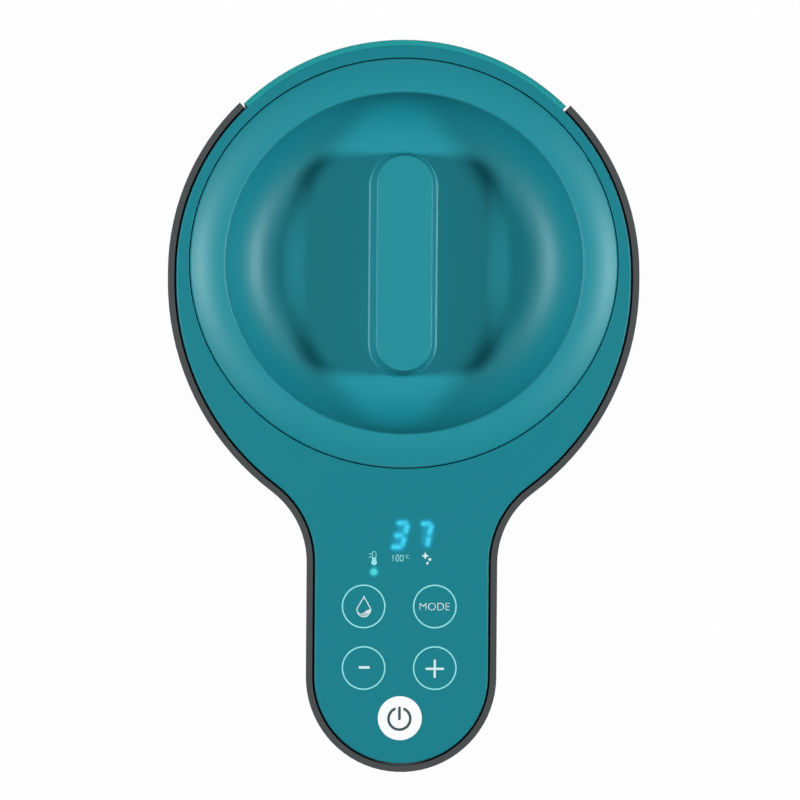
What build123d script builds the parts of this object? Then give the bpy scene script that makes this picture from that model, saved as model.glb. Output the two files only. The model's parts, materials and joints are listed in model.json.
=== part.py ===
from build123d import *
import os
from math import atan2, cos, degrees, radians, sin, sqrt

os.makedirs("parts", exist_ok=True)

# Outline seen from above: a round tank body that runs into a narrow tongue
body_radius = 89.5
tongue_reach = 153.6
tongue_half_width = 36.2
flank_straight = 3.8
flank_radius_share = 1.1128
neck_radius = 33.4

# Bottle bay: its depth in shares of the way from the nozzle axis to the pot, the hollow in the
# column's front in shares of the tongue's width
bay_share = 0.68
niche_width_share = 0.8
column_corner_radius = 3.0

# Heights of the three housings that make the C-shaped frame
foot_height = 3.0
base_height = 31.0
bay_height = 184.0
head_height = 44.0

# Housing walls and the edges where the housings sit on each other
wall = 2.4
deck = 2.4
seat_ledge = 3.0
seam_chamfer = 0.6
base_edge_radius = 3.0
head_edge_radius = 5.0
overrun = 1.0

# Rear cover let into the back of the column and head
cover_inset = 1.3
cover_thickness = 1.7
cover_gap = 0.2
cover_notch = 0.9
cover_edge_radius = 0.5
cover_half_angle = 44.5
lip_thickness = 2.4
lip_angle = 4.0

# Top panel with its collar round the lid opening
panel_thickness = 2.4
panel_proud = 0.4
panel_groove = 0.8
panel_edge_radius = 0.7
opening_edge_radius = 0.25
panel_ledge = 2.6
panel_ledge_height = 3.0
collar_depth = 7.6
collar_wall = 1.5

# Lid with its sunken bowl, an oval whose depth is a share of its width
lid_margin = 8.3
lid_oval_share = 0.9557
lid_setback = 3.4
lid_gap = 0.35
lid_wall = 2.2
lid_crown = 4.3
lid_ring_drop = 4.1
lid_edge_radius = 1.2
lid_skirt_depth = 6.7
lid_rest_gap = 0.25
ring_width = 13.6
bowl_draft = 3.0
bowl_depth = 22.0
bowl_corner_radius = 20.0
bowl_lip_radius = 0.9

# Grip that stands across the bowl
grip_end_gap = 21.8
grip_width = 25.2
grip_draft_angle = 6.3
grip_drop = 0.8
grip_edge_radius = 1.4
grip_bead = 0.7
grip_bead_height = 0.9
grip_wall = 2.2
grip_boss_radius = 4.2
grip_boss_share = 0.552

# Lid underside: liner cup and its sealing ring
liner_gap = 1.5
liner_wall = 2.0
liner_spacing = 2.4
liner_corner_radius = 5.0
liner_flange_width = 4.0
liner_flange_thickness = 2.0
liner_top_gap = 0.8
seal_drop = 5.0
seal_height = 3.4
seal_groove_depth = 1.2
seal_fit = 0.05
seal_lip_gap = 0.25
seal_lip_thickness = 1.2

# Heated pot
pot_margin = 3.6
pot_depth = 130.0
pot_wall = 0.8
pot_corner_radius = 4.0
pot_pan_lip = 2.0
pot_rim_width = 6.5
pot_clearance = 0.8
rim_seal_thickness = 1.7
shelf_thickness = 2.5
shelf_width = 16.0

# Heater under the pot
heater_inset = 26.0
heater_thickness = 6.0
element_inset = 12.0
element_radius = 3.5
element_sink = 2.4
element_fit = 0.1
element_arc = 320.0
element_pin_radius = 1.6
element_pin_length = 12.0
thermostat_radius = 8.0
thermostat_height = 9.0
thermostat_flange_radius = 11.0
thermostat_flange_height = 1.2
thermostat_tab_width = 4.8
thermostat_tab_thickness = 0.8
thermostat_tab_length = 7.0
thermostat_tab_spacing = 8.0

# Temperature probe through the pot floor
fitting_inset = 17.0
probe_radius = 3.0
probe_reach = 26.0
probe_tail = 9.0
probe_flange_radius = 7.0
probe_flange_height = 2.0
fitting_clearance = 0.15

# Water way: hose bore fits over spigots of one size, long as shares of the way from pump to pot
spigot_radius = 4.0
spigot_bore_radius = 2.6
hose_wall = 1.7
hose_fit = 0.05
hose_end_gap = 1.0
outlet_flange_radius = 7.0
outlet_flange_height = 1.5
outlet_share = 0.364
nut_radius = 7.5
nut_height = 5.0

# Pump on its cushion
cushion_radius = 22.0
cushion_floor = 2.5
cushion_height = 26.0
cushion_fit = 0.2
motor_radius = 17.5
motor_length = 42.0
motor_edge_radius = 1.5
motor_terminal_width = 3.0
motor_terminal_thickness = 0.6
motor_terminal_gap = 0.2
motor_terminal_spacing = 16.0
volute_radius = 21.0
volute_height = 12.0
volute_floor = 2.5
chamber_radius = 18.5
cover_plate_thickness = 3.0
inlet_share = 0.255
pump_outlet_offset = 14.5
pump_outlet_reach = 26.0
o_ring_radius = 0.8
o_ring_fit = 0.05
shaft_radius = 1.5
shaft_fit = 0.05
shaft_depth = 14.0
shaft_hole_gap = 0.4
impeller_radius = 16.0
impeller_disc = 1.6
impeller_gap = 0.6
impeller_hub_radius = 4.0
blade_count = 6
blade_thickness = 1.4
blade_curve_radius = 14.0

# Delivery hose up the column and along the head
riser_gap = 1.4
riser_bend_radius = 15.0
head_bend_radius = 24.0
head_hose_drop = 24.0

# Nozzle through the floor of the head
nozzle_radius = 9.5
nozzle_tip_radius = 6.0
nozzle_drop = 13.0
nozzle_cone = 6.0
nozzle_flange_radius = 13.0
nozzle_flange_height = 2.4
nozzle_body_radius = 8.0
nozzle_bore_radius = 3.0
nozzle_hole_gap = 0.3
nozzle_cap = 3.0
barb_reach = 20.0
gasket_thickness = 0.8

# Drip tray and its grille
tray_radius = 31.0
tray_wall = 1.8
tray_floor = 1.8
tray_depth = 20.0
tray_corner_radius = 3.0
tray_rim_width = 2.4
tray_rim_height = 1.8
tray_gap = 0.5
tray_rest_gap = 0.25
pocket_wall = 1.8
pocket_floor = 2.0
grille_radius = 30.2
grille_thickness = 2.0
grille_gap = 0.4
grille_rest_gap = 0.25
slot_width = 2.8
slot_pitch = 5.6
slot_margin = 3.4

# Base plate, feet and screws
plate_thickness = 2.5
plate_gap = 0.3
foot_radius = 8.0
foot_recess = 0.9
foot_gap = 0.1
foot_chamfer = 0.6
foot_inset = 23.5
tongue_foot_x = 20.0
tongue_foot_ahead = 8.5
screw_radius = 1.5
screw_head_radius = 2.9
screw_head_height = 1.6
screw_length = 10.0
screw_fit = 0.05
screw_tip_gap = 1.0
screw_hole_gap = 0.3
screw_recess_width = 0.7
screw_recess_depth = 0.8
boss_radius = 4.0
boss_overlap = 1.0
tongue_boss_x = 26.0
tongue_boss_ahead = 7.4
vent_length_share = 0.29
vent_width = 2.4
vent_pitch = 6.0
vent_count = 7

# Gland for the mains cord, low in the back of the base
gland_height = 18.0
gland_radius = 6.5
gland_gap = 0.3
gland_bore_radius = 3.6
gland_flange_radius = 9.0
gland_flange_thickness = 2.4
gland_flange_gap = 0.6
gland_recess = 0.4

# Power board on standoffs over the base plate, its plan in shares of the body's radius
board_width_share = 1.12
board_depth_share = 0.69
board_setback_share = 0.36
board_thickness = 1.6
board_corner_radius = 3.0
standoff_height = 7.0
standoff_radius = 3.2
board_screw_inset = 5.0
board_screw_length = 6.0
transformer_size = (32.0, 28.0, 24.0)
relay_size = (19.0, 15.5, 15.5)
terminal_size = (10.0, 26.0, 13.0)
heat_sink_size = (22.0, 8.0, 22.0)
capacitor_radius = 5.0
capacitor_height = 20.0

# Touch board hung under the panel on four posts, with what it carries in shares of its length
touch_board_width = 54.0
touch_board_ahead = 20.55
touch_board_gap = 13.95
touch_corner_radius = 9.0
touch_gap = 8.5
post_radius = 2.8
post_inset = 5.0
post_depth = 6.0
key_spacing = 27.0
upper_key_share = 0.5583
lower_key_share = 0.2798
power_key_share = 0.0536
pad_radius = 5.0
pad_press_gap = 0.1
display_width = 34.0
display_depth_share = 0.2024
display_share = 0.8833
display_gap = 0.4
digit_pitch = 10.4
led_share = 0.7143
led_radius = 1.6
led_gap = 0.6

# Places that follow from the sizes above
overall_length = body_radius + tongue_reach + tongue_half_width
body_y = overall_length / 2 - body_radius
nose_y = body_y - tongue_reach
flank_radius = flank_radius_share * body_radius
flank_x = body_radius - flank_radius
flank_y = body_y - flank_straight
neck_x = tongue_half_width + neck_radius
neck_run = neck_x - flank_x
neck_y = flank_y - sqrt((flank_radius + neck_radius) ** 2 - neck_run**2)
blend_angle = degrees(atan2(flank_y - neck_y, neck_run))
lid_y = body_y + lid_setback
tank_axis = Axis((0, lid_y, 0), (0, 0, 1))
lid_radius = body_radius - lid_margin
bowl_rim_radius = lid_radius - ring_width
grip_length = 2 * (bowl_rim_radius * lid_oval_share - grip_end_gap)
grip_boss_offset = grip_boss_share * grip_length / 2
opening_x_radius = lid_radius + lid_gap
opening_y_radius = lid_radius * lid_oval_share + lid_gap
collar_x_radius = opening_x_radius + collar_wall
collar_y_radius = opening_y_radius + collar_wall
pot_radius = lid_radius * lid_oval_share - pot_margin
pot_outer_radius = pot_radius + pot_wall
shelf_radius = pot_radius + shelf_width
heater_radius = pot_radius - heater_inset
element_ring_radius = heater_radius - element_inset
fitting_circle_radius = pot_radius - fitting_inset
pump_y = lid_y - fitting_circle_radius
probe_y = lid_y + fitting_circle_radius
pot_front_reach = lid_y - pot_outer_radius - nose_y
bay_y = nose_y + bay_share * pot_front_reach
niche_radius = sqrt((bay_y - nose_y) ** 2 + (niche_width_share * tongue_half_width) ** 2)

# Levels from the ground up
plate_top = foot_height + plate_thickness
base_top = foot_height + base_height
head_bottom = base_top + bay_height
head_floor = head_bottom + deck
head_top = head_bottom + head_height
panel_top = head_top + panel_proud
panel_bottom = panel_top - panel_thickness
collar_bottom = panel_bottom - collar_depth
pot_rim_top = collar_bottom - rim_seal_thickness
shelf_top = pot_rim_top - pot_wall
pot_floor = pot_rim_top - pot_depth
pot_bottom = pot_floor - pot_wall
heater_bottom = pot_bottom - heater_thickness
crown_z = panel_top + lid_crown
bowl_floor = crown_z - bowl_depth
ring_edge_z = crown_z - lid_ring_drop
skirt_bottom = ring_edge_z - lid_skirt_depth
liner_bottom = bowl_floor - lid_wall - liner_spacing - liner_wall
touch_top = panel_bottom - touch_gap
touch_bottom = touch_top - board_thickness
hose_z = panel_bottom - head_hose_drop
motor_bottom = plate_top + cushion_floor
motor_top = motor_bottom + motor_length
volute_top = motor_top + volute_height
pump_cover_top = volute_top + cover_plate_thickness
inlet_length = inlet_share * (pot_bottom - pump_cover_top)
outlet_length = outlet_share * (pot_bottom - pump_cover_top)
pump_outlet_y = pump_y - pump_outlet_offset
pump_outlet_z = motor_top + (volute_floor + volute_height) / 2
cover_radius = body_radius - cover_inset
cover_inner_radius = cover_radius - cover_thickness
opening_radius = cover_inner_radius - cover_gap
lip_radius = opening_radius - lip_thickness
hose_radius = spigot_radius + hose_fit + hose_wall
riser_circle_radius = pot_outer_radius + hose_radius + riser_gap
riser_x = sqrt(riser_circle_radius**2 - (lid_y - pump_outlet_y) ** 2)
tray_rim_bottom = base_top + tray_rest_gap
tray_rim_top = tray_rim_bottom + tray_rim_height
tray_bottom = tray_rim_top - tray_depth
grille_seat = tray_rim_top - grille_thickness - grille_rest_gap
board_bottom = plate_top + standoff_height
board_top = board_bottom + board_thickness
board_width = board_width_share * body_radius
board_depth = board_depth_share * body_radius
board_y = body_y + board_setback_share * body_radius
vent_length = vent_length_share * body_radius
touch_front_y = nose_y - touch_board_ahead
touch_back_y = lid_y - collar_y_radius - touch_board_gap
touch_board_length = touch_back_y - touch_front_y
touch_board_y = (touch_front_y + touch_back_y) / 2
display_depth = display_depth_share * touch_board_length
display_y = touch_front_y + display_share * touch_board_length
led_y = touch_front_y + led_share * touch_board_length


def keyhole(inset):
    with BuildSketch() as plan:
        with BuildLine():
            CenterArc((0, body_y), body_radius - inset, 90, -90)
            Line((body_radius - inset, body_y), (body_radius - inset, flank_y))
            CenterArc((flank_x, flank_y), flank_radius - inset, 0, -blend_angle)
            CenterArc((neck_x, neck_y), neck_radius + inset, 180 - blend_angle, blend_angle)
            Line((tongue_half_width - inset, neck_y), (tongue_half_width - inset, nose_y))
            CenterArc((0, nose_y), tongue_half_width - inset, 0, -90)
            mirror(about=Plane.YZ)
        make_face()
    return plan.sketch


def keyhole_side(front):
    kept = Align.MIN if front else Align.MAX
    with BuildSketch() as plan:
        add(keyhole(0))
        with Locations((0, bay_y)):
            Rectangle(overall_length, overall_length, align=(Align.CENTER, kept), mode=Mode.SUBTRACT)
    return plan.sketch


def column_plan(inset):
    with BuildSketch() as plan:
        add(keyhole(inset))
        with Locations((0, bay_y + inset)):
            Rectangle(overall_length, overall_length, align=(Align.CENTER, Align.MAX), mode=Mode.SUBTRACT)
        with Locations((0, nose_y)):
            Circle(niche_radius + inset, mode=Mode.SUBTRACT)
        if inset < column_corner_radius:
            fillet(plan.vertices().group_by(Axis.Y)[0], radius=column_corner_radius - inset)
    return plan.sketch


def rear_sector(inner_radius, outer_radius, half_angle):
    with BuildSketch() as plan:
        with BuildLine():
            outer = CenterArc((0, body_y), outer_radius, 90 - half_angle, 2 * half_angle)
            Polyline(outer @ 0, (0, body_y), outer @ 1)
        make_face()
        with Locations((0, body_y)):
            Circle(inner_radius, mode=Mode.SUBTRACT)
    return plan.sketch


def screw_group(places, head_seat, length, aim):
    with BuildPart() as group:
        with BuildSketch(Plane.XY.offset(head_seat)):
            with Locations(*places):
                Circle(screw_radius)
        extrude(amount=aim * length)
        with BuildSketch(Plane.XY.offset(head_seat)):
            with Locations(*places):
                Circle(screw_head_radius)
        extrude(amount=-aim * screw_head_height)
        with BuildSketch(Plane.XY.offset(head_seat - aim * screw_head_height)):
            with Locations(*places):
                Rectangle(2 * screw_radius, screw_recess_width)
                Rectangle(screw_recess_width, 2 * screw_radius)
        extrude(amount=aim * screw_recess_depth, mode=Mode.SUBTRACT)
    return group


def save(piece, name):
    piece.part.label = name
    export_step(piece.part, f"parts/{name}.step")


def round_places(radius, angles):
    return [(radius * cos(radians(a)), body_y + radius * sin(radians(a))) for a in angles]


def mirrored(x, y):
    return [(-x, y), (x, y)]


foot_circle_radius = body_radius - foot_inset
body_feet = round_places(foot_circle_radius, (45, 135, 225, 315))
foot_places = body_feet + mirrored(tongue_foot_x, nose_y - tongue_foot_ahead)
wall_boss_circle = body_radius - wall - boss_radius + boss_overlap
wall_bosses = round_places(wall_boss_circle, (0, 60, 120, 180))
boss_places = wall_bosses + mirrored(tongue_boss_x, bay_y - tongue_boss_ahead)
standoff_x = board_width / 2 - board_screw_inset
standoff_y = board_depth / 2 - board_screw_inset
standoff_places = mirrored(standoff_x, board_y - standoff_y) + mirrored(standoff_x, board_y + standoff_y)
post_x = touch_board_width / 2 - post_inset
post_back_y = touch_back_y - post_inset
post_front_y = touch_front_y + 2 * post_inset
post_places = mirrored(post_x, post_back_y) + mirrored(post_x, post_front_y)
upper_keys = mirrored(key_spacing / 2, touch_front_y + upper_key_share * touch_board_length)
lower_keys = mirrored(key_spacing / 2, touch_front_y + lower_key_share * touch_board_length)
power_key = (0, touch_front_y + power_key_share * touch_board_length)
key_places = upper_keys + lower_keys + [power_key]
grip_screw_places = [(0, lid_y - grip_boss_offset), (0, lid_y + grip_boss_offset)]

# Base housing: deck and skirt in one moulding, open below, with the tray well sunk in its tongue
with BuildPart() as base_tongue:
    with BuildSketch(Plane.XY.offset(foot_height)):
        add(keyhole_side(front=True))
    extrude(amount=base_height)
    base_rim = faces().sort_by(Axis.Z)[-1].edges().sort_by(Axis.Y)[:-1]
    fillet(base_rim, radius=base_edge_radius)

with BuildPart() as base_housing:
    with BuildSketch(Plane.XY.offset(foot_height)):
        add(keyhole_side(front=False))
    extrude(amount=base_height)
    add(base_tongue.part)
    with BuildSketch(Plane.XY.offset(foot_height)):
        add(keyhole(wall))
    extrude(amount=base_height - deck, mode=Mode.SUBTRACT)
    with BuildSketch(Plane.XY.offset(base_top - deck - overrun)):
        add(column_plan(wall + seat_ledge))
    extrude(amount=deck + 2 * overrun, mode=Mode.SUBTRACT)
    with BuildSketch(Plane.XY.offset(tray_bottom - tray_gap - pocket_floor)):
        with Locations((0, nose_y)):
            Circle(tray_radius + tray_gap + pocket_wall)
    extrude(until=Until.NEXT)
    with BuildSketch(Plane.XY.offset(tray_bottom - tray_gap)):
        with Locations((0, nose_y)):
            Circle(tray_radius + tray_gap)
    extrude(amount=tray_depth, mode=Mode.SUBTRACT)
    with BuildSketch(Plane.XY.offset(plate_top)):
        with Locations(*boss_places):
            Circle(boss_radius)
    extrude(amount=base_height - plate_thickness - deck / 2)
    with BuildSketch(Plane.XY.offset(plate_top)):
        with Locations(*boss_places):
            Circle(screw_radius + screw_fit)
    extrude(amount=screw_length, mode=Mode.SUBTRACT)
    with BuildSketch(Plane.XZ.offset(-body_y)):
        with Locations((0, gland_height)):
            Circle(gland_radius + gland_gap)
    extrude(amount=-body_radius - overrun, mode=Mode.SUBTRACT)
save(base_housing, "base_housing")

# Base plate with foot recesses, vents and board standoffs
with BuildPart() as base_plate:
    with BuildSketch(Plane.XY.offset(foot_height)):
        add(keyhole(wall + plate_gap))
    extrude(amount=plate_thickness)
    with BuildSketch(Plane.XY.offset(foot_height)):
        with Locations(*foot_places):
            Circle(foot_radius + foot_gap)
    extrude(amount=foot_recess, mode=Mode.SUBTRACT)
    with BuildSketch(Plane.XY.offset(plate_top)):
        with Locations(*standoff_places):
            Circle(standoff_radius)
    extrude(amount=standoff_height)
    with BuildSketch(Plane.XY.offset(board_bottom)):
        with Locations(*standoff_places):
            Circle(screw_radius + screw_fit)
    extrude(amount=-board_screw_length, mode=Mode.SUBTRACT)
    with BuildSketch(Plane.XY.offset(foot_height)):
        with Locations(*boss_places):
            Circle(screw_radius + screw_hole_gap)
        with Locations((0, board_y)):
            with GridLocations(vent_length + vent_pitch, vent_pitch, 2, vent_count):
                SlotOverall(vent_length, vent_width)
    extrude(amount=plate_thickness, mode=Mode.SUBTRACT)
save(base_plate, "base_plate")

with BuildPart() as rubber_feet:
    with BuildSketch():
        with Locations(*foot_places):
            Circle(foot_radius)
    extrude(amount=foot_height + foot_recess)
    chamfer(edges().group_by(Axis.Z)[0], length=foot_chamfer)
save(rubber_feet, "rubber_feet")

base_screw_length = plate_thickness + screw_length - screw_tip_gap
base_screws = screw_group(boss_places, foot_height, base_screw_length, 1)
save(base_screws, "base_screws")

# Cord gland held in the back wall by its inner flange
gland_back = body_y + body_radius - gland_recess
gland_face = body_y + body_radius - wall - gland_flange_gap
with BuildPart() as cord_gland:
    with BuildSketch(Plane.XZ.offset(-gland_face)):
        with Locations((0, gland_height)):
            Circle(gland_radius)
    extrude(amount=gland_face - gland_back)
    with BuildSketch(Plane.XZ.offset(-gland_face)):
        with Locations((0, gland_height)):
            Circle(gland_flange_radius)
    extrude(amount=gland_flange_thickness)
    with BuildSketch(Plane.XZ.offset(-gland_back)):
        with Locations((0, gland_height)):
            Circle(gland_bore_radius)
    extrude(amount=gland_back - gland_face + gland_flange_thickness, mode=Mode.SUBTRACT)
save(cord_gland, "cord_gland")

# Column housing: an open-backed shell with a hollow front where the bottle stands
with BuildPart() as column_housing:
    with BuildSketch(Plane.XY.offset(base_top)):
        add(column_plan(0))
    extrude(amount=bay_height)
    seams = faces().filter_by(Axis.Z).edges()
    chamfer(seams, length=seam_chamfer)
    with BuildSketch(Plane.XY.offset(base_top)):
        add(column_plan(wall))
    extrude(amount=bay_height, mode=Mode.SUBTRACT)
    with BuildSketch(Plane.XY.offset(base_top)):
        add(rear_sector(lip_radius, body_radius - wall / 2, cover_half_angle + lip_angle))
        add(rear_sector(lip_radius - overrun, body_radius, cover_half_angle - lip_angle), mode=Mode.SUBTRACT)
    extrude(amount=bay_height)
    with BuildSketch(Plane.XY.offset(base_top)):
        add(rear_sector(opening_radius, body_radius + overrun, cover_half_angle))
    extrude(amount=bay_height, mode=Mode.SUBTRACT)
save(column_housing, "column_housing")

# Rear cover, bowed like the body
notch_angle = degrees(cover_notch / cover_radius)
with BuildPart() as rear_cover:
    with BuildSketch(Plane.XY.offset(base_top)):
        add(rear_sector(cover_inner_radius, cover_radius, cover_half_angle - notch_angle))
    extrude(amount=bay_height + head_height)
    fillet(faces().sort_by(Axis.Z)[-1].edges(), radius=cover_edge_radius)
save(rear_cover, "rear_cover")

# Head housing: a tub with a rounded underside, a shelf for the pot and a ledge for the panel
with BuildPart() as head_tongue:
    with BuildSketch(Plane.XY.offset(head_bottom)):
        add(keyhole_side(front=True))
    extrude(amount=head_height)
    head_rim = faces().sort_by(Axis.Z)[0].edges().sort_by(Axis.Y)[:-1]
    fillet(head_rim, radius=head_edge_radius)

with BuildPart() as head_housing:
    with BuildSketch(Plane.XY.offset(head_bottom)):
        add(keyhole_side(front=False))
    extrude(amount=head_height)
    add(head_tongue.part)
    with BuildSketch(Plane.XY.offset(head_floor)):
        add(keyhole(wall))
    extrude(amount=head_height, mode=Mode.SUBTRACT)
    with BuildSketch(Plane.XY.offset(head_bottom - overrun)):
        add(column_plan(wall + seat_ledge))
        with Locations((0, nose_y)):
            Circle(nozzle_radius + nozzle_hole_gap)
    extrude(amount=deck + 2 * overrun, mode=Mode.SUBTRACT)
    with BuildSketch(Plane.XY.offset(panel_bottom)):
        add(keyhole(wall / 2))
        add(keyhole(wall + panel_ledge), mode=Mode.SUBTRACT)
    extrude(amount=-panel_ledge_height)
    with BuildSketch(Plane.XY.offset(shelf_top)):
        add(keyhole(wall / 2))
        with Locations((0, lid_y)):
            Circle(shelf_radius, mode=Mode.INTERSECT)
            Circle(pot_outer_radius + pot_clearance, mode=Mode.SUBTRACT)
    extrude(amount=-shelf_thickness)
    with BuildSketch(Plane.XY.offset(head_bottom)):
        add(rear_sector(opening_radius, body_radius + overrun, cover_half_angle))
    extrude(amount=head_height, mode=Mode.SUBTRACT)
save(head_housing, "head_housing")

# Top panel: one plate over tongue and body, with the collar that keeps spilt water out
with BuildPart() as top_panel:
    with BuildSketch(Plane.XY.offset(panel_bottom)):
        add(keyhole(wall + panel_groove))
        with Locations((0, lid_y)):
            Ellipse(opening_x_radius, opening_y_radius, mode=Mode.SUBTRACT)
    extrude(amount=panel_thickness)
    fillet(faces().sort_by(Axis.Z)[-1].outer_wire().edges(), radius=panel_edge_radius)
    fillet(faces().sort_by(Axis.Z)[-1].inner_wires().edges(), radius=opening_edge_radius)
    with BuildSketch(Plane.XY.offset(collar_bottom)):
        with Locations((0, lid_y)):
            Ellipse(collar_x_radius, collar_y_radius)
            Ellipse(opening_x_radius, opening_y_radius, mode=Mode.SUBTRACT)
    extrude(amount=collar_depth)
    with BuildSketch(Plane.XY.offset(touch_top)):
        with Locations(*post_places):
            Circle(post_radius)
    extrude(amount=touch_gap)
    with BuildSketch(Plane.XY.offset(touch_top)):
        with Locations(*post_places):
            Circle(screw_radius + screw_fit)
    extrude(amount=post_depth, mode=Mode.SUBTRACT)
save(top_panel, "top_panel")

# Lid shell: ring, skirt and bowl turned as one wall, then drawn to the oval
with BuildPart() as lid_form:
    with BuildSketch(Plane.XZ) as lid_section:
        with BuildLine():
            bowl = FilletPolyline(
                (0, bowl_floor),
                (bowl_rim_radius - bowl_draft, bowl_floor),
                (bowl_rim_radius, crown_z),
                radius=(bowl_corner_radius,),
            )
            ring = TangentArc(bowl @ 1, (lid_radius, ring_edge_z), tangent=(1, 0))
            skirt = Line(ring @ 1, (lid_radius, skirt_bottom))
            lower = FilletPolyline(
                (0, bowl_floor - lid_wall),
                (bowl_rim_radius - bowl_draft + lid_wall, bowl_floor - lid_wall),
                (bowl_rim_radius + lid_wall, crown_z - lid_wall),
                (lid_radius - lid_wall, ring_edge_z - lid_wall),
                (lid_radius - lid_wall, skirt_bottom),
                radius=(bowl_corner_radius + lid_wall, 0, 0),
            )
            Line(bowl @ 0, lower @ 0)
            Line(skirt @ 1, lower @ 1)
        make_face()
        fillet(lid_section.vertices().sort_by_distance(bowl @ 1)[0], radius=bowl_lip_radius)
        fillet(lid_section.vertices().sort_by_distance(ring @ 1)[0], radius=lid_edge_radius)
    revolve(axis=Axis.Z)
    with BuildSketch(Plane.XY.offset(bowl_floor - lid_wall)):
        with Locations((0, -grip_boss_offset / lid_oval_share), (0, grip_boss_offset / lid_oval_share)):
            Circle(screw_radius + screw_hole_gap)
    extrude(amount=lid_wall, mode=Mode.SUBTRACT)
    scale(by=(1, lid_oval_share, 1))

with BuildPart() as lid_shell:
    with Locations((0, lid_y, 0)):
        add(lid_form.part)
save(lid_shell, "lid_shell")

# Grip: a tapered hollow bar with two screw bosses
grip_height = bowl_depth - grip_drop
with BuildPart() as lid_grip:
    with BuildSketch(Plane.XY.offset(bowl_floor)):
        with Locations((0, lid_y)):
            SlotOverall(grip_length, grip_width, rotation=90)
    extrude(amount=grip_height, taper=grip_draft_angle)
    fillet(faces().sort_by(Axis.Z)[-1].edges(), radius=grip_edge_radius)
    with BuildSketch(Plane.XY.offset(bowl_floor)):
        with Locations((0, lid_y)):
            SlotOverall(grip_length + 2 * grip_bead, grip_width + 2 * grip_bead, rotation=90)
    extrude(amount=grip_bead_height, taper=degrees(atan2(grip_bead, grip_bead_height)))
    with BuildSketch(Plane.XY.offset(bowl_floor)):
        with Locations((0, lid_y)):
            SlotOverall(grip_length - 2 * grip_wall, grip_width - 2 * grip_wall, rotation=90)
    extrude(amount=grip_height - grip_wall, taper=grip_draft_angle, mode=Mode.SUBTRACT)
    with BuildSketch(Plane.XY.offset(bowl_floor)):
        with Locations(*grip_screw_places):
            Circle(grip_boss_radius)
    extrude(amount=grip_height - grip_wall / 2)
    with BuildSketch(Plane.XY.offset(bowl_floor)):
        with Locations(*grip_screw_places):
            Circle(screw_radius + screw_fit)
    extrude(amount=screw_length, mode=Mode.SUBTRACT)
save(lid_grip, "lid_grip")

# Liner: the round cup that closes the lid from below, with a groove for the seal
liner_radius = pot_radius - liner_gap
liner_inner_radius = liner_radius - liner_wall
flange_bottom = collar_bottom + lid_rest_gap
flange_radius = liner_radius + liner_flange_width
seal_top = flange_bottom - seal_drop
seal_bottom = seal_top - seal_height
groove_radius = liner_radius - seal_groove_depth
liner_top = ring_edge_z - lid_wall - liner_top_gap
with BuildPart() as lid_liner:
    with BuildSketch(Plane.XZ.offset(-lid_y)):
        with BuildLine():
            outside = FilletPolyline(
                (0, liner_bottom),
                (liner_radius, liner_bottom),
                (liner_radius, liner_top),
                radius=(liner_corner_radius,),
            )
            inside = FilletPolyline(
                (0, liner_bottom + liner_wall),
                (liner_inner_radius, liner_bottom + liner_wall),
                (liner_inner_radius, liner_top),
                radius=(liner_corner_radius - liner_wall,),
            )
            Line(outside @ 0, inside @ 0)
            Line(outside @ 1, inside @ 1)
        make_face()
        with Locations((liner_radius - liner_wall / 2, flange_bottom)):
            flange_reach = flange_radius - liner_radius + liner_wall / 2
            Rectangle(flange_reach, liner_flange_thickness, align=Align.MIN)
        with Locations((groove_radius, seal_bottom - seal_fit)):
            groove_height = seal_height + 2 * seal_fit
            Rectangle(liner_wall, groove_height, align=Align.MIN, mode=Mode.SUBTRACT)
    revolve(axis=tank_axis)
    with BuildSketch(Plane.XY.offset(liner_bottom + liner_wall / 2)):
        with Locations(*grip_screw_places):
            Circle(grip_boss_radius)
    extrude(amount=liner_wall / 2 + liner_spacing)
    with BuildSketch(Plane.XY.offset(liner_bottom)):
        with Locations(*grip_screw_places):
            Circle(screw_radius + screw_hole_gap)
    extrude(amount=liner_wall + liner_spacing, mode=Mode.SUBTRACT)
save(lid_liner, "lid_liner")

with BuildPart() as lid_seal:
    with BuildSketch(Plane.XZ.offset(-lid_y)):
        with Locations((groove_radius + seal_fit, seal_bottom)):
            Rectangle(seal_groove_depth, seal_height, align=Align.MIN)
        with Locations((liner_radius, seal_bottom)):
            lip_reach = pot_radius - liner_radius - seal_lip_gap
            Rectangle(lip_reach, seal_lip_thickness, align=Align.MIN)
    revolve(axis=tank_axis)
save(lid_seal, "lid_seal")

lid_screw_length = liner_wall + liner_spacing + lid_wall + screw_length - screw_tip_gap
lid_screws = screw_group(grip_screw_places, liner_bottom, lid_screw_length, 1)
save(lid_screws, "lid_screws")

# Heated pot: a rolled wall between a pressed base pan and the flat ring that it hangs by
pot_pan_top = pot_floor + pot_corner_radius + pot_pan_lip
with BuildPart() as inner_pot:
    with BuildSketch(Plane.XY.offset(pot_pan_top)):
        with Locations((0, lid_y)):
            Circle(pot_outer_radius)
            Circle(pot_radius, mode=Mode.SUBTRACT)
    extrude(amount=shelf_top - pot_pan_top)
save(inner_pot, "inner_pot")

with BuildPart() as pot_rim:
    with BuildSketch(Plane.XY.offset(shelf_top)):
        with Locations((0, lid_y)):
            Circle(pot_radius + pot_rim_width)
            Circle(pot_radius, mode=Mode.SUBTRACT)
    extrude(amount=pot_wall)
save(pot_rim, "pot_rim")

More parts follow.
